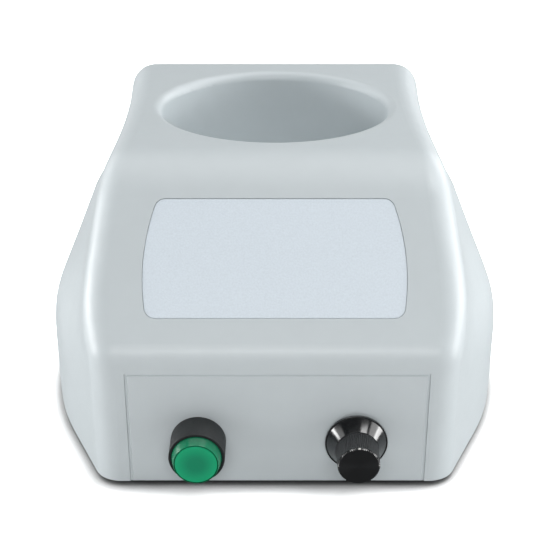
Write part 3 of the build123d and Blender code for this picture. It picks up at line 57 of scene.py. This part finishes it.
def new_finish(name, colour, roughness, metallic=0.0):
    """A material with one principled shader, ready for its texture nodes."""
    finish = bpy.data.materials.new(name)
    finish.use_nodes = True
    shader = finish.node_tree.nodes["Principled BSDF"]
    shader.inputs["Base Color"].default_value = (*colour, 1)
    shader.inputs["Roughness"].default_value = roughness
    shader.inputs["Metallic"].default_value = metallic
    return finish


def add_node(finish, kind, **inputs):
    """A new node in the finish, with its named inputs set."""
    node = finish.node_tree.nodes.new(kind)
    for key, value in inputs.items():
        node.inputs[key.replace("_", " ")].default_value = value
    return node


def noise(finish, size, detail=2.0):
    """Noise of that size on the piece's own coordinates."""
    place = add_node(finish, "ShaderNodeTexCoord")
    texture = add_node(finish, "ShaderNodeTexNoise", Scale=1 / size, Detail=detail)
    finish.node_tree.links.new(place.outputs["Object"], texture.inputs["Vector"])
    return texture.outputs["Fac"]


def add_bump(finish, height, depth, strength=1.0):
    """Bump of that depth from a height between 0 and 1."""
    links = finish.node_tree.links
    bump = add_node(finish, "ShaderNodeBump", Distance=depth, Strength=strength)
    links.new(height, bump.inputs["Height"])
    shader = finish.node_tree.nodes["Principled BSDF"]
    links.new(bump.outputs["Normal"], shader.inputs["Normal"])


def add_tone(finish, factor, low, high):
    """Base colour that runs from low to high with the factor."""
    links = finish.node_tree.links
    tone = add_node(finish, "ShaderNodeMix")
    tone.data_type = "RGBA"
    tone.inputs["A"].default_value = (*low, 1)
    tone.inputs["B"].default_value = (*high, 1)
    links.new(factor, tone.inputs["Factor"])
    shader = finish.node_tree.nodes["Principled BSDF"]
    links.new(tone.outputs["Result"], shader.inputs["Base Color"])


def add_shine(finish, factor, low, high):
    """Roughness that runs from low to high with the factor."""
    links = finish.node_tree.links
    spread = add_node(finish, "ShaderNodeMapRange")
    spread.inputs["To Min"].default_value = low
    spread.inputs["To Max"].default_value = high
    links.new(factor, spread.inputs["Value"])
    shader = finish.node_tree.nodes["Principled BSDF"]
    links.new(spread.outputs["Result"], shader.inputs["Roughness"])


def paint(finish, *names):
    """Puts a finish on CAD nodes."""
    for name in names:
        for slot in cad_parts[name].material_slots:
            slot.material = finish


def shade(colour, share):
    """The same colour, lighter or darker by a share."""
    return tuple(channel * share for channel in colour)


case_grey = (0.56, 0.61, 0.63)
grain_size = 0.55 * mm
grain_depth = 0.02 * mm
moulded_grey = new_finish("moulded_grey", case_grey, roughness=0.4)
mottling = noise(moulded_grey, size=9 * mm)
add_tone(moulded_grey, mottling, low=shade(case_grey, 0.975), high=shade(case_grey, 1.02))
add_shine(moulded_grey, noise(moulded_grey, size=1.1 * mm), low=0.33, high=0.46)
case_grain = noise(moulded_grey, grain_size, detail=3.0)
add_bump(moulded_grey, case_grain, grain_depth, strength=0.8)
paint(moulded_grey, "top_casing")


# Front panel: the same moulding, flush in its opening. A ledge round it closes the gap, so
# that only a shallow groove shows, with a hairline where the ledge meets the casing.

paint(moulded_grey, "front_panel")
case_low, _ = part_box("top_casing")
panel_low, panel_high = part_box("front_panel")
front_y = case_low.y
panel_gap = 0.9 * mm
panel_height = 50 * mm
ledge_depth = 0.45 * mm
ledge_thickness = 1.2 * mm
hairline = 0.1 * mm
smooth_below = 35


def start_piece(name):
    """Names the new primitive and opens it in edit mode with nothing selected."""
    piece = bpy.context.object
    piece.name = name
    piece.data.name = name
    bpy.ops.object.mode_set(mode="EDIT")
    bpy.ops.mesh.select_all(action="DESELECT")
    return piece


def close_piece(piece, finish, body, angle=smooth_below):
    """Turns the faces outwards, puts the piece's place into its mesh, shades and rides it."""
    bpy.ops.mesh.select_all(action="SELECT")
    bpy.ops.mesh.normals_make_consistent(inside=False)
    bpy.ops.object.mode_set(mode="OBJECT")
    bpy.ops.object.select_all(action="DESELECT")
    piece.select_set(True)
    bpy.context.view_layer.objects.active = piece
    bpy.ops.object.transform_apply(location=True, rotation=True, scale=True)
    bpy.ops.object.shade_smooth_by_angle(angle=radians(angle))
    piece.data.materials.clear()
    piece.data.materials.append(finish)
    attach(piece, body)
    bpy.ops.object.select_all(action="DESELECT")


bpy.ops.object.select_all(action="DESELECT")
ledge_left = panel_low.x - panel_gap + hairline
ledge_right = panel_high.x + panel_gap - hairline
ledge_top = case_low.z + panel_height - hairline
ledge_width = ledge_right - ledge_left
ledge_height = ledge_top - case_low.z
ledge_middle = Vector(
    ((ledge_left + ledge_right) / 2, front_y + ledge_depth, case_low.z + ledge_height / 2)
)
bpy.ops.mesh.primitive_plane_add(size=1, location=ledge_middle, rotation=(pi / 2, 0, 0))
bpy.context.object.scale = (ledge_width, ledge_height, 1)
bpy.ops.object.transform_apply(location=True, rotation=True, scale=True)
panel_ledge = start_piece("panel_ledge")
bpy.ops.mesh.select_all(action="SELECT")
bpy.ops.mesh.inset(thickness=panel_gap - hairline)
bpy.ops.mesh.delete(type="FACE")
bpy.ops.mesh.select_all(action="SELECT")
bpy.ops.mesh.extrude_region_move(TRANSFORM_OT_translate={"value": (0, ledge_thickness, 0)})
close_piece(panel_ledge, moulded_grey, "housing")


# Nameplate: a thin polyester sheet, held by its adhesive in the pocket of the slope. It is
# printed a plain pale silver, with a fine even speckle in the ink and a soft sheen.

plate_silver = (0.68, 0.75, 0.81)
printed_sheet = new_finish("printed_sheet", plate_silver, roughness=0.38)
speckle = noise(printed_sheet, size=0.7 * mm, detail=4.0)
add_tone(printed_sheet, speckle, low=shade(plate_silver, 0.9), high=shade(plate_silver, 1.1))
add_shine(printed_sheet, noise(printed_sheet, size=1.6 * mm), low=0.3, high=0.45)
paint(printed_sheet, "nameplate")


# Push button: a matt black moulded barrel, and in it a green translucent lens. A cone runs
# up to the lens's flat face, which has a groove round it and is paler towards its edge.
# The groove and the cone's outer rim, where it meets the barrel, are darkened with painted
# shade.
# Both are turned about the button's axis from outlines whose points are (radius, Y).

barrel_black = (0.013, 0.015, 0.016)
moulded_black = new_finish("moulded_black", barrel_black, roughness=0.55)
barrel_mottling = noise(moulded_black, size=0.8 * mm)
add_tone(
    moulded_black, barrel_mottling, low=shade(barrel_black, 0.8), high=shade(barrel_black, 1.35)
)
barrel_grain = noise(moulded_black, size=0.35 * mm, detail=3.0)
add_bump(moulded_black, barrel_grain, depth=0.03 * mm, strength=0.9)
paint(moulded_black, "button_barrel", "button_nut", "switch_block")

lens_low, lens_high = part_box("button_lens")
barrel_low, barrel_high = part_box("button_barrel")
button_axis = (lens_low + lens_high) / 2
lens_radius = (lens_high.x - lens_low.x) / 2
lens_front = lens_low.y
lens_proud = 4.2 * mm
barrel_radius = (barrel_high.x - barrel_low.x) / 2
barrel_front = lens_front + lens_proud
barrel_bore = lens_radius + 0.08 * mm
bore_chamfer = 0.15 * mm
barrel_edge = 0.35 * mm
barrel_edge_bulge = 0.1 * mm
neck_radius = 8.0 * mm
guide_radius = 4.6 * mm
guide_front = barrel_front + 11.0 * mm
ring_points = 128
level_slack = 0.001 * mm
radius_slack = 0.01 * mm
button_smooth_below = 28


def turn(name, axis, outline, segments):
    """A turned piece on an axis along Y: rings of (radius, Y), each extruded from the last."""
    first_radius, first_y = outline[0]
    bpy.ops.mesh.primitive_circle_add(
        vertices=segments,
        radius=first_radius,
        fill_type="NOTHING",
        location=(axis.x, first_y, axis.z),
        rotation=(pi / 2, 0, 0),
    )
    bpy.ops.object.transform_apply(location=True, rotation=True, scale=True)
    piece = start_piece(name)
    bpy.ops.mesh.select_all(action="SELECT")
    for (old_radius, old_y), (radius, y) in zip(outline, outline[1:]):
        bpy.ops.mesh.extrude_region_move(TRANSFORM_OT_translate={"value": (0, y - old_y, 0)})
        share = radius / old_radius
        bpy.ops.transform.resize(
            value=(share, 1, share), center_override=(axis.x, y, axis.z)
        )
    return piece


def pick(piece, test):
    """Selects the vertices that pass a test, by their place."""
    bpy.ops.object.mode_set(mode="OBJECT")
    for group in (piece.data.vertices, piece.data.edges, piece.data.polygons):
        group.foreach_set("select", [False] * len(group))
    for vertex in piece.data.vertices:
        vertex.select = test(vertex)
    bpy.ops.object.mode_set(mode="EDIT")
    bpy.ops.mesh.select_mode(type="VERT")


def close_end(piece, axis, end_point):
    """Closes the ring at one end of a turned piece with a fan to its middle."""
    radius, y = end_point

    def on_ring(vertex):
        from_axis = (vertex.co - Vector((axis.x, vertex.co.y, axis.z))).length
        return abs(vertex.co.y - y) < level_slack and abs(from_axis - radius) < radius_slack

    pick(piece, on_ring)
    bpy.ops.mesh.edge_face_add()
    bpy.ops.mesh.poke()


barrel_outline = [
    (guide_radius, barrel_high.y),
    (guide_radius, guide_front),
    (barrel_bore, guide_front),
    (barrel_bore, barrel_front + bore_chamfer),
    (barrel_bore + bore_chamfer, barrel_front),
    (barrel_radius - barrel_edge, barrel_front),
    (barrel_radius - barrel_edge_bulge, barrel_front + barrel_edge_bulge),
    (barrel_radius, barrel_front + barrel_edge),
    (barrel_radius, front_y),
    (neck_radius, front_y),
    (neck_radius, barrel_high.y),
]
barrel_sleeve = turn("barrel_sleeve", button_axis, barrel_outline, ring_points)
pick(barrel_sleeve, lambda vertex: abs(vertex.co.y - barrel_high.y) < level_slack)
bpy.ops.mesh.bridge_edge_loops()
close_piece(barrel_sleeve, moulded_black, "housing", button_smooth_below)
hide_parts("button_barrel")

lens_wall = 1.6 * mm
face_radius = lens_radius - 1.3 * mm
groove_width = 0.28 * mm
groove_depth = 0.3 * mm
groove_inside = face_radius - groove_width
groove_floor = lens_front + groove_depth
cone_back = barrel_front - 0.5 * mm
cone_front = lens_front + 0.35 * mm
lens_outline = [
    (lens_radius - lens_wall, lens_high.y),
    (lens_radius, lens_high.y),
    (lens_radius, barrel_front - 0.1 * mm),
    (lens_radius - 0.15 * mm, cone_back),
    (face_radius + 0.32 * mm, cone_front),
    (face_radius + 0.26 * mm, cone_front - 0.15 * mm),
    (face_radius + 0.14 * mm, cone_front - 0.25 * mm),
    (face_radius, cone_front - 0.28 * mm),
    (face_radius - 0.04 * mm, groove_floor),
    (groove_inside, groove_floor),
    (groove_inside - 0.08 * mm, lens_front + 0.06 * mm),
    (groove_inside - 0.3 * mm, lens_front + 0.01 * mm),
    (face_radius * 0.2, lens_front),
]
lens_cap = turn("lens_cap", button_axis, lens_outline, ring_points)
close_end(lens_cap, button_axis, lens_outline[-1])
close_end(lens_cap, button_axis, lens_outline[0])

face_heart_green = (0.008, 0.235, 0.118)
face_edge_green = (0.010, 0.36, 0.165)
cone_green = (0.008, 0.21, 0.1)
# Painted shade: the groove's green is the cone's green at a quarter of its brightness.
painted_groove_shade = shade(cone_green, 0.25)
heart_share = 0.3
edge_share = 0.8
groove_shares = (0.832, 0.845, 0.866, 0.88)
green_lens = new_finish("green_lens", face_edge_green, roughness=0.22)
lens_place = add_node(green_lens, "ShaderNodeTexCoord")
from_centre = add_node(green_lens, "ShaderNodeMapping")
from_centre.inputs["Location"].default_value = (-button_axis.x, 0, -button_axis.z)
from_centre.inputs["Scale"].default_value = (1, 0, 1)
reach = add_node(green_lens, "ShaderNodeVectorMath")
reach.operation = "LENGTH"
radius_share = add_node(green_lens, "ShaderNodeMath")
radius_share.operation = "DIVIDE"
radius_share.inputs[1].default_value = lens_radius
# The ramp carries the lens's own paler edge, and painted shade in the groove and at the cone's
# rim.
tint_and_painted_shade = add_node(green_lens, "ShaderNodeValToRGB")
tint_and_shade_stops = tint_and_painted_shade.color_ramp.elements
tint_and_shade_stops[0].position = heart_share
tint_and_shade_stops[0].color = (*face_heart_green, 1)
tint_and_shade_stops[1].position = edge_share
tint_and_shade_stops[1].color = (*face_edge_green, 1)
tint_and_shade_stops.new(groove_shares[0]).color = (*face_edge_green, 1)
tint_and_shade_stops.new(groove_shares[1]).color = (*painted_groove_shade, 1)
tint_and_shade_stops.new(groove_shares[2]).color = (*painted_groove_shade, 1)
tint_and_shade_stops.new(groove_shares[3]).color = (*cone_green, 1)
# Painted shade: the cone darkens towards the rim where it sinks into the barrel.
tint_and_shade_stops.new(1.0).color = (*shade(cone_green, 0.6), 1)
green_links = green_lens.node_tree.links
green_links.new(lens_place.outputs["Object"], from_centre.inputs["Vector"])
green_links.new(from_centre.outputs["Vector"], reach.inputs[0])
green_links.new(reach.outputs["Value"], radius_share.inputs[0])
green_links.new(radius_share.outputs["Value"], tint_and_painted_shade.inputs["Fac"])
green_shader = green_lens.node_tree.nodes["Principled BSDF"]
green_links.new(tint_and_painted_shade.outputs["Color"], green_shader.inputs["Base Color"])
green_shader.inputs["Specular IOR Level"].default_value = 0.35
add_bump(green_lens, noise(green_lens, size=0.5 * mm), depth=0.006 * mm)
close_piece(lens_cap, green_lens, "button", button_smooth_below)
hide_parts("button_lens")


# Control knob: turned from aluminium and anodised black. A thin rim and a polished cone form
# the skirt, the grip is straight knurled, and the face is turned with a bright chamfer.

knob_low, knob_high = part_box("control_knob")
knob_axis = (knob_low + knob_high) / 2
knob_back = knob_high.y
knob_face = knob_low.y
skirt_radius = (knob_high.x - knob_low.x) / 2
skirt_top = knob_back - 6.4 * mm
rim_front = knob_back - 1.5 * mm
rim_edge = 0.25 * mm
grip_radius = 8.5 * mm
tip_radius = 8.25 * mm
tooth_count = 66
points_per_tooth = 4
tooth_depth = 0.26 * mm
chamfer_width = 0.55 * mm
recess_radius = 7.5 * mm
recess_depth = 2.4 * mm
knob_smooth_below = 25
knob_outline = [
    (recess_radius, knob_back - recess_depth),
    (recess_radius, knob_back),
    (skirt_radius - rim_edge, knob_back),
    (skirt_radius, knob_back - rim_edge),
    (skirt_radius, rim_front + rim_edge),
    (skirt_radius - 0.3 * mm, rim_front),
    (skirt_radius - 0.55 * mm, rim_front),
    (grip_radius + 1.6 * mm, knob_back - 3.9 * mm),
    (grip_radius + 0.15 * mm, skirt_top),
    (grip_radius - tooth_depth - 0.1 * mm, skirt_top - 0.12 * mm),
    (grip_radius, skirt_top - 0.5 * mm),
    (tip_radius, knob_face + chamfer_width),
    (tip_radius - chamfer_width, knob_face),
    (tip_radius * 0.7, knob_face + 0.05 * mm),
    (tip_radius * 0.1, knob_face + 0.12 * mm),
]
knob_ring_points = points_per_tooth * tooth_count
turned_knob = turn("turned_knob", knob_axis, knob_outline, knob_ring_points)
close_end(turned_knob, knob_axis, knob_outline[-1])
close_end(turned_knob, knob_axis, knob_outline[0])


def in_valley(vertex):
    """True for every second pair of points round the grip's two rings."""
    on_grip = knob_face + 0.5 * chamfer_width < vertex.co.y < skirt_top - 0.3 * mm
    turn_share = atan2(vertex.co.z - knob_axis.z, vertex.co.x - knob_axis.x) / tau
    return on_grip and round(turn_share * knob_ring_points) % points_per_tooth >= 2


pick(turned_knob, in_valley)
valley_share = 1 - tooth_depth / grip_radius
bpy.ops.transform.resize(
    value=(valley_share, 1, valley_share), center_override=(knob_axis.x, knob_face, knob_axis.z)
)
anodised = new_finish("anodised_black", (0.01, 0.011, 0.012), roughness=0.16)
anodised.node_tree.nodes["Principled BSDF"].inputs["IOR"].default_value = 1.9
add_shine(anodised, noise(anodised, size=0.6 * mm), low=0.13, high=0.2)
close_piece(turned_knob, anodised, "knob", knob_smooth_below)
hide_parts("control_knob")

turned_face = new_finish("turned_face", (0.06, 0.063, 0.066), roughness=0.32, metallic=0.85)
face_shader = turned_face.node_tree.nodes["Principled BSDF"]
face_shader.inputs["Anisotropic"].default_value = 0.8
around = add_node(turned_face, "ShaderNodeTangent")
around.direction_type = "RADIAL"
around.axis = "Y"
turned_face.node_tree.links.new(around.outputs["Tangent"], face_shader.inputs["Tangent"])
knurled = new_finish("knurled_black", (0.03, 0.032, 0.034), roughness=0.4)
turned_knob.data.materials.append(turned_face)
turned_knob.data.materials.append(knurled)
face_slot = 1
grip_slot = 2
for polygon in turned_knob.data.polygons:
    face_y = polygon.center.y
    if face_y < knob_face + 0.2 * mm and polygon.normal.y < -0.9:
        polygon.material_index = face_slot
    elif knob_face + chamfer_width < face_y < skirt_top:
        polygon.material_index = grip_slot


# Pointer: a short engraved line over the edge of the knob's face, filled with white paint.
# It is a thin bar with softened edges, laid over the chamfer at half a right angle.

pointer_inset = 0.3 * mm
pointer_width = 0.9 * mm
pointer_thickness = 0.1 * mm
pointer_length = 0.7 * mm
pointer_edge = 0.04 * mm
bpy.ops.mesh.primitive_cube_add(
    size=1,
    location=(knob_axis.x, knob_face + pointer_inset, knob_axis.z + tip_radius - pointer_inset),
    rotation=(radians(-45), 0, 0),
)
bpy.context.object.scale = (pointer_width, pointer_thickness, pointer_length)
bpy.ops.object.transform_apply(location=True, rotation=True, scale=True)
pointer_line = start_piece("pointer_line")
bpy.ops.mesh.select_all(action="SELECT")
bpy.ops.mesh.bevel(offset=pointer_edge, segments=2)
engraving_white = new_finish("engraving_white", (0.62, 0.62, 0.6), roughness=0.5)
add_bump(engraving_white, noise(engraving_white, size=0.15 * mm), depth=0.01 * mm)
close_piece(pointer_line, engraving_white, "knob")
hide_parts("knob_pointer")


# Base plate, feet and screws: a darker moulded plate closes the casing from below on four
# rubber feet, held by zinc plated screws.

base_grey = (0.2, 0.205, 0.21)
moulded_base = new_finish("moulded_base", base_grey, roughness=0.6)
base_mottling = noise(moulded_base, size=6 * mm)
add_tone(moulded_base, base_mottling, low=shade(base_grey, 0.9), high=shade(base_grey, 1.08))
add_bump(moulded_base, noise(moulded_base, size=0.6 * mm, detail=3.0), depth=0.04 * mm)
paint(moulded_base, "base_plate")

black_rubber = new_finish("black_rubber", (0.025, 0.025, 0.026), roughness=0.75)
add_shine(black_rubber, noise(black_rubber, size=1.5 * mm), low=0.65, high=0.85)
add_bump(black_rubber, noise(black_rubber, size=0.3 * mm, detail=4.0), depth=0.03 * mm)
paint(black_rubber, "rubber_feet", "pump_isolators", "diaphragm", "valve_flaps")

zinc_plate = new_finish("zinc_plate", (0.62, 0.63, 0.65), roughness=0.3, metallic=1.0)
zinc_stain = noise(zinc_plate, size=1.2 * mm)
add_tone(zinc_plate, zinc_stain, low=(0.52, 0.54, 0.57), high=(0.7, 0.7, 0.7))
add_shine(zinc_plate, noise(zinc_plate, size=0.4 * mm), low=0.22, high=0.42)
screws = ("case_screws", "panel_screws", "head_screws", "motor_screws", "isolator_screws")
paint(zinc_plate, *screws, "board_screws", "clamp_screw", "knob_set_screw", "pot_nut")
paint(zinc_plate, "power_jack_nut", "rod_bearing", "diaphragm_clamp")


# Inside the button: a plunger moulded in white acetal carries the lens and slides in the
# barrel's guide. A small clear lamp stands on its post inside it.

white_acetal = new_finish("white_acetal", (0.78, 0.78, 0.75), roughness=0.35)
add_bump(white_acetal, noise(white_acetal, size=0.5 * mm), depth=0.01 * mm)
paint(white_acetal, "button_plunger")
clear_lamp = new_finish("clear_lamp", (0.8, 0.95, 0.85), roughness=0.08)
lamp_shader = clear_lamp.node_tree.nodes["Principled BSDF"]
lamp_shader.inputs["Transmission Weight"].default_value = 0.85
paint(clear_lamp, "button_lamp")


# Return spring: bright spring steel wire, wound four times round the plunger, between the
# barrel's web and the plunger's disc.

spring_steel = new_finish("spring_steel", (0.5, 0.5, 0.5), roughness=0.25, metallic=1.0)
add_shine(spring_steel, noise(spring_steel, size=0.3 * mm), low=0.18, high=0.34)
spring_low, spring_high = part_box("button_spring")
wire_radius = 0.35 * mm
wire_points = 12
coil_turns = 4
coil_points = 40
coil_radius = (spring_high.x - spring_low.x) / 2 - wire_radius
coil_rise = spring_high.y - spring_low.y - 2 * wire_radius
bpy.ops.mesh.primitive_circle_add(
    vertices=wire_points,
    radius=wire_radius,
    location=(button_axis.x, spring_low.y + wire_radius, button_axis.z),
)
return_spring = start_piece("return_spring")
bpy.ops.mesh.select_all(action="SELECT")
bpy.ops.transform.translate(value=(coil_radius, 0, 0))
bpy.ops.object.mode_set(mode="OBJECT")
bpy.ops.object.modifier_add(type="SCREW")
winding = return_spring.modifiers[-1]
winding.axis = "Y"
winding.iterations = coil_turns
winding.screw_offset = coil_rise / coil_turns
winding.steps = coil_points
bpy.ops.object.modifier_apply(modifier=winding.name)
bpy.ops.object.mode_set(mode="EDIT")
close_piece(return_spring, spring_steel, "housing")
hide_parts("button_spring")
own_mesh(return_spring)


# Potentiometer and motor: brass is turned for the shaft, the threaded bushing and the bearing
# bushes, and sheet steel is pressed for both cans, the rotor's stack and the bracket.

turned_brass = new_finish("turned_brass", (0.72, 0.52, 0.24), roughness=0.28, metallic=1.0)
brass_stain = noise(turned_brass, size=2.5 * mm)
add_tone(turned_brass, brass_stain, low=(0.62, 0.44, 0.2), high=(0.78, 0.58, 0.28))
add_shine(turned_brass, noise(turned_brass, size=0.4 * mm), low=0.2, high=0.38)
paint(turned_brass, "pot_shaft", "pot_bushing", "motor_bushes", "eccentric")
pressed_steel = new_finish("pressed_steel", (0.5, 0.5, 0.52), roughness=0.35, metallic=1.0)
add_shine(pressed_steel, noise(pressed_steel, size=0.8 * mm), low=0.28, high=0.45)
paint(pressed_steel, "pot_can", "motor_can", "motor_rotor", "pump_bracket")


# Pump: a die-cast crankcase and rod, a moulded black head and valve plate, and the motor's
# sintered magnets. Milky silicone tubes lead from the head to the fittings at the rear.

cast_metal = new_finish("cast_metal", (0.6, 0.61, 0.62), roughness=0.45, metallic=0.9)
add_shine(cast_metal, noise(cast_metal, size=1.5 * mm), low=0.38, high=0.58)
add_bump(cast_metal, noise(cast_metal, size=0.5 * mm, detail=4.0), depth=0.03 * mm)
paint(cast_metal, "crankcase", "crankcase_cover", "connecting_rod")
paint(moulded_black, "pump_head", "valve_plate", "motor_end_cap")
sintered = new_finish("sintered_magnet", (0.1, 0.1, 0.105), roughness=0.6, metallic=0.4)
add_bump(sintered, noise(sintered, size=0.3 * mm, detail=4.0), depth=0.02 * mm)
paint(sintered, "motor_magnets")
milky_silicone = new_finish("milky_silicone", (0.72, 0.72, 0.68), roughness=0.4)
add_shine(milky_silicone, noise(milky_silicone, size=2 * mm), low=0.32, high=0.5)
paint(milky_silicone, "suction_tube", "exhaust_tube")


# Circuit board: glass cloth laminate under green solder resist, in which the cloth shows as
# a faint mottling. It carries a green terminal block, canned capacitors and, on a die-cast
# heat sink, the transistor that feeds the motor.

resist_green = (0.02, 0.17, 0.07)
solder_resist = new_finish("solder_resist", resist_green, roughness=0.3)
cloth_mottling = noise(solder_resist, size=1.2 * mm)
add_tone(
    solder_resist, cloth_mottling, low=shade(resist_green, 0.8), high=shade(resist_green, 1.2)
)
paint(solder_resist, "circuit_board", "terminal_block")
paint(pressed_steel, "board_capacitors")
paint(cast_metal, "heat_sink")
paint(moulded_black, "power_transistor")


# Rear fittings: a vacuum port and an exhaust silencer turned from brass and a moulded black
# power socket, each held in the casing's rear wall by its nut.

paint(turned_brass, "vacuum_port", "exhaust_silencer", "vacuum_port_nut", "exhaust_nut")
paint(moulded_black, "power_jack")


# Stage: a pale floor that the camera sees white, with a narrow contact shadow from ambient
# occlusion. Reflections see it dark, and all other light bounces off it as off white paper.

floor_size = 2.4
bounce_white = (0.9, 0.9, 0.9, 1)
mirrored_grey = (0.08, 0.08, 0.08, 1)
shadow_reach = 9 * mm
shadow_depth = 2.2
seen_white = (2.2, 2.2, 2.2)
bpy.ops.mesh.primitive_plane_add(size=floor_size, location=(0, 0, 0))
floor = bpy.context.object
floor.name = "floor"
pale_floor = bpy.data.materials.new("pale_floor")
pale_floor.use_nodes = True
floor_nodes = pale_floor.node_tree.nodes
floor_links = pale_floor.node_tree.links
floor_shader = floor_nodes["Principled BSDF"]
floor_shader.inputs["Base Color"].default_value = bounce_white
floor_shader.inputs["Roughness"].default_value = 0.9
floor_shader.inputs["Specular IOR Level"].default_value = 0.0
seen_floor = floor_nodes.new("ShaderNodeBsdfDiffuse")
open_sky = floor_nodes.new("ShaderNodeAmbientOcclusion")
open_sky.inputs["Distance"].default_value = shadow_reach
contact = floor_nodes.new("ShaderNodeMath")
contact.operation = "POWER"
contact.inputs[1].default_value = shadow_depth
lift = floor_nodes.new("ShaderNodeVectorMath")
lift.operation = "SCALE"
lift.inputs[0].default_value = seen_white
floor_links.new(open_sky.outputs["AO"], contact.inputs[0])
floor_links.new(contact.outputs["Value"], lift.inputs["Scale"])
floor_links.new(lift.outputs["Vector"], seen_floor.inputs["Color"])
mirrored_floor = floor_nodes.new("ShaderNodeBsdfDiffuse")
mirrored_floor.inputs["Color"].default_value = mirrored_grey
ray = floor_nodes.new("ShaderNodeLightPath")
choose = floor_nodes.new("ShaderNodeMixShader")
choose_mirrored = floor_nodes.new("ShaderNodeMixShader")
floor_links.new(ray.outputs["Is Glossy Ray"], choose_mirrored.inputs["Fac"])
floor_links.new(floor_shader.outputs["BSDF"], choose_mirrored.inputs[1])
floor_links.new(mirrored_floor.outputs["BSDF"], choose_mirrored.inputs[2])
floor_links.new(ray.outputs["Is Camera Ray"], choose.inputs["Fac"])
floor_links.new(choose_mirrored.outputs["Shader"], choose.inputs[1])
floor_links.new(seen_floor.outputs["BSDF"], choose.inputs[2])
floor_links.new(choose.outputs["Shader"], floor_nodes["Material Output"].inputs["Surface"])
floor.data.materials.append(pale_floor)


# Lamps and surround: on each side a softbox low down, one at mid height and one behind, one
# high at the right, a large one overhead and a narrow strip in front. The surround is white
# to the camera and adds only a trace of even light.

lamp_aim = Vector((0, 0, 0.06))


def softbox(name, place, width, height, power):
    """A rectangular area lamp that faces the object."""
    lamp = bpy.data.lights.new(name, "AREA")
    lamp.shape = "RECTANGLE"
    lamp.size = width
    lamp.size_y = height
    lamp.energy = power
    holder = bpy.data.objects.new(name, lamp)
    bpy.context.collection.objects.link(holder)
    holder.location = place
    holder.rotation_euler = (lamp_aim - Vector(place)).to_track_quat("-Z", "Y").to_euler()


softbox("left_back_softbox", (-0.8, 0.8, 0.5), width=0.6, height=0.6, power=1.8)
softbox("left_low_softbox", (-1.1, 0, 0.18), width=0.9, height=0.3, power=8.6)
softbox("left_softbox", (-1.0, 0.15, 0.5), width=0.8, height=0.6, power=2.0)
softbox("right_back_softbox", (0.8, 0.8, 0.5), width=0.6, height=0.6, power=3.6)
softbox("right_low_softbox", (1.1, 0, 0.18), width=0.9, height=0.3, power=6.0)
softbox("right_softbox", (1.0, 0.1, 0.5), width=0.8, height=0.6, power=3.4)
softbox("right_high_softbox", (0.6, 0, 1.1), width=0.5, height=0.5, power=3.8)
softbox("top_softbox", (0, 0.4, 1.35), width=1.6, height=1.1, power=8.0)
softbox("front_strip", (0, -1.15, 0.72), width=0.9, height=0.12, power=7.0)

trace_strength = 0.02
surround = bpy.data.worlds.new("surround")
bpy.context.scene.world = surround
surround.use_nodes = True
surround_nodes = surround.node_tree.nodes
surround_links = surround.node_tree.links
ambient = surround_nodes["Background"]
ambient.inputs["Color"].default_value = (0.94, 0.98, 1.0, 1)
ambient.inputs["Strength"].default_value = trace_strength
backdrop = surround_nodes.new("ShaderNodeBackground")
backdrop.inputs["Color"].default_value = (1, 1, 1, 1)
surround_ray = surround_nodes.new("ShaderNodeLightPath")
surround_mix = surround_nodes.new("ShaderNodeMixShader")
surround_links.new(surround_ray.outputs["Is Camera Ray"], surround_mix.inputs["Fac"])
surround_links.new(ambient.outputs["Background"], surround_mix.inputs[1])
surround_links.new(backdrop.outputs["Background"], surround_mix.inputs[2])
surround_out = surround_nodes["World Output"]
surround_links.new(surround_mix.outputs["Shader"], surround_out.inputs["Surface"])
bpy.context.scene.view_settings.view_transform = "Standard"


# Camera: straight in front of the panel, above the object and tilted down to it. Its places
# are measured from the foot of the casing's front, and its focal length is in pixels.

camera_right = 0.1 * mm
camera_ahead = 386.4 * mm
camera_above = 276.3 * mm
camera_tilt = 25.44
photo_width = 550
focal_pixels = 1152.6
camera_data = bpy.data.cameras.new("camera")
camera_data.sensor_width = 36
camera_data.lens = camera_data.sensor_width * focal_pixels / photo_width
camera = bpy.data.objects.new("camera", camera_data)
bpy.context.collection.objects.link(camera)
camera.location = (camera_right, front_y - camera_ahead, case_low.z + camera_above)
camera.rotation_euler = (radians(90 - camera_tilt), 0, 0)
bpy.context.scene.camera = camera
